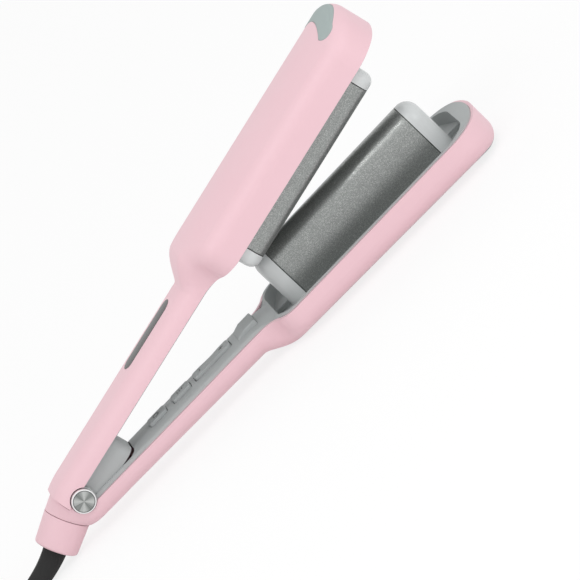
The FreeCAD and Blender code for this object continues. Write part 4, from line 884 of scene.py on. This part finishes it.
def fill_heights(grid):
    """Gives a point that met no face the mean height of its row, and a row of such points its neighbour's."""
    for row in grid:
        known = [p[2] for p in row if p[2] is not None]
        for p in row:
            if p[2] is None and known:
                p[2] = sum(known) / len(known)
    whole = [row for row in grid if row[0][2] is not None]
    for row in grid:
        if row[0][2] is None:
            nearest = min(whole, key=lambda other: abs(other[0][1] - row[0][1]))
            for p, q in zip(row, nearest):
                p[2] = q[2]


def pad_mesh(name, node, matrix, way, parts):
    """A crescent pad laid on its solid's outer face, with a round edge and one moulded line, and painted
    shade in that line and along the round edge.
    """
    grid = pad_grid(surface_of(node, matrix), way)
    fill_heights(grid)
    rounding = parts.pad_rounding

    def build(bm):
        painted_shade = bm.verts.layers.float.new("line")

        def new_vertex(x, y, z, depth, inset, under):
            drop = rounding - math.sqrt(max(rounding ** 2 - max(0.0, rounding - depth) ** 2, 0.0))
            fade = max(0.0, min(1.0, (PAD_LINE_END - abs(y)) / PAD_LINE_FADE))
            cut = fade * math.exp(-((inset - PAD_LINE_INSET) / PAD_LINE_WIDTH) ** 2)
            lower = PAD_THICKNESS if under else drop + parts.pad_groove * cut
            vertex = bm.verts.new((x, y, z - way * lower))
            # Painted shade: darker in the moulded groove and towards the pad's round edge.
            vertex[painted_shade] = max(cut * PAD_LINE_PAINTED_SHADE, 1.0 - min(1.0, depth / (2 * rounding)))
            return vertex

        sheets = [[[new_vertex(*p, under) for p in row] for row in grid] for under in (False, True)]
        for sheet in sheets:
            join_rings(bm, sheet, closed=False)
        join_rings(bm, [[row[0] for row in sheet] + sheet[-1][1:] + [row[-1] for row in sheet[-2::-1]]
                        + sheet[0][-2:0:-1] for sheet in sheets])
        bmesh.ops.dissolve_degenerate(bm, dist=1e-7, edges=bm.edges)

    mesh = mesh_of(name, build)
    mesh.transform(matrix)
    return mesh


class CRIMPER_OT_pads(bpy.types.Operator):
    """Makes the two crescent pads on the tips"""
    bl_idname = "crimper.pads"
    bl_label = "Tip pads"

    def execute(self, context):
        parts = context.scene.crimper_parts
        for name, body, way in (("upper_tip", "upper_arm", 1), ("lower_tip", "lower_arm", -1)):
            mesh = pad_mesh(name + "_crescent", name + "_pad", ARMS[body], way, parts)
            attach(new_object(name + "_crescent", mesh, "pad"), body, [name + "_pad"])
            dress("pad", name + "_pad")
        return {"FINISHED"}


def turned_disc(bm, profile, way):
    """A profile turned about the hinge's axis, on one side of the middle plane."""
    turns = [2 * math.pi * k / CAP_STEPS for k in range(CAP_STEPS)]
    rings = []
    for radius, y in profile:
        if radius == 0.0:
            rings.append([bm.verts.new((HINGE.x, way * y, HINGE.z))] * CAP_STEPS)
        else:
            rings.append([bm.verts.new((HINGE.x + radius * math.cos(turn), way * y,
                                        HINGE.z + radius * math.sin(turn))) for turn in turns])
    join_rings(bm, rings)


class CRIMPER_OT_hinge(bpy.types.Operator):
    """Makes the two turned caps of the hinge"""
    bl_idname = "crimper.hinge"
    bl_label = "Hinge caps"

    def execute(self, context):
        groove = context.scene.crimper_parts.cap_groove
        profile = [(0.0, CAP_BACK), (CAP_RADIUS, CAP_BACK), (CAP_RADIUS, CAP_FACE - CAP_EDGE),
                   (CAP_RADIUS - CAP_CHAMFER, CAP_FACE - CAP_CHAMFER)]
        profile += [(radius, CAP_FACE) for radius in CAP_RIM]
        profile += [(radius, CAP_FACE - groove) for radius in CAP_GROOVE]
        profile += [(radius, CAP_FACE - drop) for radius, drop in CAP_DISH]
        for name, side in (("near", -1), ("far", 1)):
            mesh = mesh_of(name + "_hinge_disc", lambda bm: turned_disc(bm, profile, side))
            mesh.set_sharp_from_angle(angle=math.radians(24))
            piece = new_object(name + "_hinge_disc", mesh, "turned steel")
            attach(piece, "lower_arm", ["hinge_cap_" + name])
            dress("turned steel", "hinge_cap_" + name)
        return {"FINISHED"}


def symbol_bar(bm, levels, x, long_x, long_y):
    """A raised bar on the keys' middle line."""
    corners = [(x + sx * long_x / 2, sy * long_y / 2) for sx, sy in ((-1, -1), (1, -1), (1, 1), (-1, 1))]
    join_rings(bm, [[bm.verts.new((*corner, level)) for corner in corners] for level in levels], ends=True)


def symbol_arc(bm, levels, x, radius):
    """The open ring of the power symbol."""
    low, high = levels
    rings = []
    for k in range(POWER_STEPS + 1):
        angle = math.radians(POWER_START + (POWER_END - POWER_START) * k / POWER_STEPS)
        ring = []
        for side, z in ((-1, low), (1, low), (1, high), (-1, high)):
            reach = radius + side * SYMBOL_STROKE
            ring.append(bm.verts.new((x + math.cos(angle) * reach, math.sin(angle) * reach, z)))
        rings.append(ring)
    join_rings(bm, rings, ends=True)


class CRIMPER_OT_controls(bpy.types.Operator):
    """Finishes the keys, the stop block and the display window, and puts the symbols on the keys"""
    bl_idname = "crimper.controls"
    bl_label = "Controls and window"

    def execute(self, context):
        dress("control", "power_button", "mode_button", "temperature_rocker", "stop_block")
        dress("window", "display_window")
        levels = (KEY_TOP - SYMBOL_SUNK, KEY_TOP + context.scene.crimper_parts.symbol_height)
        thick = 2 * SYMBOL_STROKE
        waves = [(MODE_X + k * MODE_SPACING, thick, MODE_LENGTH - abs(k) * MODE_LESS) for k in (-1, 0, 1)]
        marks = [(ROCKER_PLUS_X, ROCKER_MARK, thick), (ROCKER_PLUS_X, thick, ROCKER_MARK),
                 (ROCKER_MINUS_X, thick, ROCKER_MARK)]
        for name, body, bars in (("power_symbol", "power_button", [(*POWER_BAR, thick)]),
                                 ("mode_symbol", "mode_button", waves),
                                 ("rocker_symbols", "temperature_rocker", marks)):
            def build(bm):
                if body == "power_button":
                    symbol_arc(bm, levels, POWER_X, POWER_RADIUS)
                for bar in bars:
                    symbol_bar(bm, levels, *bar)

            mesh = mesh_of(name, build, smooth=False)
            mesh.transform(ARMS["lower_arm"])
            attach(new_object(name, mesh, "symbol"), body)
        return {"FINISHED"}


class CRIMPER_OT_screws(bpy.types.Operator):
    """Makes the cross-head screws of both arms"""
    bl_idname = "crimper.screws"
    bl_label = "Screws"

    def execute(self, context):
        parts = context.scene.crimper_parts
        tree = screw_tree()
        for name, body in (("lower_screws", "lower_arm"), ("upper_screws", "upper_arm")):
            matrix = ARMS[body]
            back = matrix.inverted()
            solids = [back @ v.co for v in frame["nodes"][name].data.vertices]
            middle = (min(p.x for p in solids) + max(p.x for p in solids)) / 2
            spots, depth = [], 0.0
            for side in (-1, 1):
                own = [p for p in solids if (p.x - middle) * side > 0]
                x = (min(p.x for p in own) + max(p.x for p in own)) / 2
                low, high = min(p.z for p in own), max(p.z for p in own)
                spots.append(matrix @ Vector((x, 0.0, low)))
                depth = max(depth, high - low)
            mesh = grown_mesh(name + "_cross", tree, {
                "Head radius": parts.screw_head, "Head height": parts.screw_height,
                "Shank radius": parts.screw_shank, "Shank length": depth - parts.screw_height,
                "Direction": tuple(matrix.to_3x3() @ Vector((0, 0, 1))), "Material": make_material("steel"),
            }, spots)
            mesh.set_sharp_from_angle(angle=math.radians(30))
            attach(new_object(name + "_cross", mesh), body, [name])
            dress("steel", name)
        return {"FINISHED"}


class CRIMPER_OT_inner_parts(bpy.types.Operator):
    """Finishes what is inside the arms"""
    bl_idname = "crimper.inner_parts"
    bl_label = "Inner parts"

    def execute(self, context):
        for finish, nodes in HIDDEN_FINISHES.items():
            dress(finish, *nodes)
        return {"FINISHED"}


def coil_point(turn):
    """The coil's middle line: turn counts its turns from the outside of the lowest layer."""
    per_layer = COIL_TURNS / COIL_LAYERS
    layer = min(int(turn / per_layer), COIL_LAYERS - 1)
    into = turn - layer * per_layer
    inward = into if layer % 2 == 0 else per_layer - into
    climb = 0.0
    for k in range(1, COIL_LAYERS):
        share = max(0.0, min(1.0, (turn - k * per_layer) / COIL_CLIMB_TURNS + 0.5))
        climb += share * share * (3 - 2 * share)
    angle = COIL_START - 2 * math.pi * turn
    radius = COIL_RADIUS - COIL_PITCH * inward
    return (COIL_CENTRE[0] + radius * math.cos(angle), COIL_CENTRE[1] + radius * math.sin(angle),
            COIL_FLOOR + COIL_PITCH * climb)


class CRIMPER_OT_cord(bpy.types.Operator):
    """Makes the mains lead and finishes its boot, tie and plug"""
    bl_idname = "crimper.cord"
    bl_label = "Cord and plug"

    def execute(self, context):
        cord = context.scene.crimper_cord
        steps = round(COIL_TURNS * COIL_POINTS_PER_TURN)
        coil = [coil_point(COIL_TURNS * k / steps) for k in range(steps + 1)]
        points = CORD_ROUTE + coil + TAIL_ROUTE
        line = bpy.data.curves.new("mains_lead", "CURVE")
        line.dimensions = "3D"
        spline = line.splines.new("NURBS")
        spline.points.add(len(points) - 1)
        for point, place in zip(spline.points, points):
            point.co = (*place, 1.0)
        spline.order_u = 3
        spline.use_endpoint_u = True
        spline.resolution_u = 6
        line.bevel_depth = cord.diameter / 2
        line.bevel_resolution = 6
        line.use_fill_caps = True
        line.materials.append(make_material("sheath"))
        lead = new_object("mains_lead", line)
        attach(lead, "cord_set", ["cord", "cord_coil", "cord_tail"])
        for finish, nodes in CORD_FINISHES.items():
            dress(finish, *nodes)
        return {"FINISHED"}


def seen_directly(b):
    """1 where the camera, a reflection or a clear piece sees the surface, and 0 for other light."""
    rays = b.add("ShaderNodeLightPath").outputs
    return b.math("MAXIMUM", b.math("MAXIMUM", rays["Is Camera Ray"], rays["Is Glossy Ray"]),
                  rays["Is Transmission Ray"])


class CRIMPER_OT_stage(bpy.types.Operator):
    """Makes the floor, the lamps, the world and the camera"""
    bl_idname = "crimper.stage"
    bl_label = "Stage"

    def execute(self, context):
        settings = context.scene.crimper_stage
        self.make_floor(settings)
        self.make_world(context, settings)
        self.make_lamps(context, settings)
        self.make_camera(context, settings)
        context.scene.view_settings.view_transform = "Standard"
        return {"FINISHED"}

    def make_floor(self, settings):
        mesh = bpy.data.meshes.new("floor")
        corners = [(x * FLOOR_HALF, y * FLOOR_HALF, 0) for x, y in ((-1, -1), (1, -1), (1, 1), (-1, 1))]
        mesh.from_pydata(corners, [], [(0, 1, 2, 3)])
        material, b, shader = start_material("floor", ends=False)
        tone = b.remap(b.noise(b.place(), 3.0, 2.0, 0.5), 0.0, 1.0, 0.995, 1.0)
        hue = b.add("ShaderNodeHueSaturation", {"Color": opaque(settings.floor), "Value": tone})
        b.fill(shader, {"Base Color": hue.outputs["Color"], "Roughness": 0.9, "Specular IOR Level": 0.1})
        white = b.get("ShaderNodeEmission", {"Color": (1, 1, 1, 1), "Strength": 1.0})
        share = b.math("MULTIPLY", seen_directly(b), settings.backdrop_share)
        shown = b.get("ShaderNodeMixShader", {0: share, 1: shader.outputs["BSDF"], 2: white})
        b.add("ShaderNodeOutputMaterial", {"Surface": shown})
        mesh.materials.append(material)
        new_object("floor", mesh)

    def make_world(self, context, settings):
        world = bpy.data.worlds.new("studio")
        world.use_nodes = True
        world.node_tree.nodes.clear()
        b = NodeBuilder(world.node_tree)
        strength = b.remap(seen_directly(b), 0.0, 1.0, settings.world_strength, 1.0)
        light = b.get("ShaderNodeBackground", {"Color": (1, 1, 1, 1), "Strength": strength})
        b.add("ShaderNodeOutputWorld", {"Surface": light})
        context.scene.world = world

    def make_lamps(self, context, settings):
        rows = [("key", (-0.75, -0.9, 1.15), 0.9, 0.9, settings.key_power),
                ("strip", (0.08, -0.7, 0.98), 0.9, 0.05, settings.strip_power),
                ("fill", (1.0, -1.1, 0.55), 0.8, 0.8, settings.fill_power)]
        for name, place, wide, high, power in rows:
            lamp = bpy.data.lights.new(name, "AREA")
            lamp.shape = "RECTANGLE"
            lamp.size, lamp.size_y = wide, high
            lamp.energy = power
            holder = new_object(name, lamp)
            holder.location = place
            holder.rotation_euler = (LAMP_TARGET - Vector(place)).to_track_quat("-Z", "Y").to_euler()

    def make_camera(self, context, settings):
        turn = Matrix.Rotation(-LOWER_PITCH, 3, "Y")
        flat = math.cos(CAMERA_ELEVATION)
        back = Vector((math.sin(CAMERA_AZIMUTH) * flat, -math.cos(CAMERA_AZIMUTH) * flat,
                       math.sin(CAMERA_ELEVATION)))
        right = Vector((math.cos(CAMERA_AZIMUTH), math.sin(CAMERA_AZIMUTH), 0))
        back, right, up = turn @ back, turn @ right, turn @ back.cross(right)
        across = right * math.cos(CAMERA_ROLL) - up * math.sin(CAMERA_ROLL)
        upward = right * math.sin(CAMERA_ROLL) + up * math.cos(CAMERA_ROLL)
        target = ARMS["lower_arm"] @ CAMERA_TARGET
        place = target + back * settings.distance
        aim = target + across * CAMERA_AIM[0] + upward * CAMERA_AIM[1]
        away = (place - aim).normalized()
        side = (across - away * across.dot(away)).normalized()
        camera_data = bpy.data.cameras.new("camera")
        camera_data.lens = settings.lens
        camera_data.sensor_width = 36.0
        camera_data.clip_start, camera_data.clip_end = 0.1, 60.0
        camera = new_object("camera", camera_data)
        facing = Matrix((side, away.cross(side), away)).transposed().to_4x4()
        camera.matrix_world = Matrix.Translation(place) @ facing
        context.scene.camera = camera


OPERATORS = (CRIMPER_OT_housings, CRIMPER_OT_barrels, CRIMPER_OT_pads, CRIMPER_OT_hinge, CRIMPER_OT_controls,
             CRIMPER_OT_screws, CRIMPER_OT_inner_parts, CRIMPER_OT_cord, CRIMPER_OT_stage)
GROUPS = (("crimper_finishes", CrimperFinishes), ("crimper_parts", CrimperParts),
          ("crimper_cord", CrimperCord), ("crimper_stage", CrimperStage))


class CRIMPER_PT_panel(bpy.types.Panel):
    """Lists the crimper's pieces and their settings"""
    bl_label = "Crimper"
    bl_idname = "CRIMPER_PT_panel"
    bl_space_type = "VIEW_3D"
    bl_region_type = "UI"
    bl_category = "Crimper"

    def draw(self, context):
        for operator in OPERATORS:
            self.layout.operator(operator.bl_idname)
        for name, _ in GROUPS:
            group = getattr(context.scene, name)
            box = self.layout.box()
            for key in group.__annotations__:
                box.prop(group, key)


def register():
    for _, group in GROUPS:
        bpy.utils.register_class(group)
    for name, group in GROUPS:
        setattr(bpy.types.Scene, name, PointerProperty(type=group))
    for operator in OPERATORS:
        bpy.utils.register_class(operator)
    bpy.utils.register_class(CRIMPER_PT_panel)


def unregister():
    bpy.utils.unregister_class(CRIMPER_PT_panel)
    for operator in reversed(OPERATORS):
        bpy.utils.unregister_class(operator)
    for name, _ in GROUPS:
        delattr(bpy.types.Scene, name)
    for _, group in reversed(GROUPS):
        bpy.utils.unregister_class(group)


def main():
    register()
    bpy.ops.crimper.housings()
    bpy.ops.crimper.barrels()
    bpy.ops.crimper.pads()
    bpy.ops.crimper.hinge()
    bpy.ops.crimper.controls()
    bpy.ops.crimper.screws()
    bpy.ops.crimper.inner_parts()
    bpy.ops.crimper.cord()
    bpy.ops.crimper.stage()


if __name__ == "__main__":
    main()
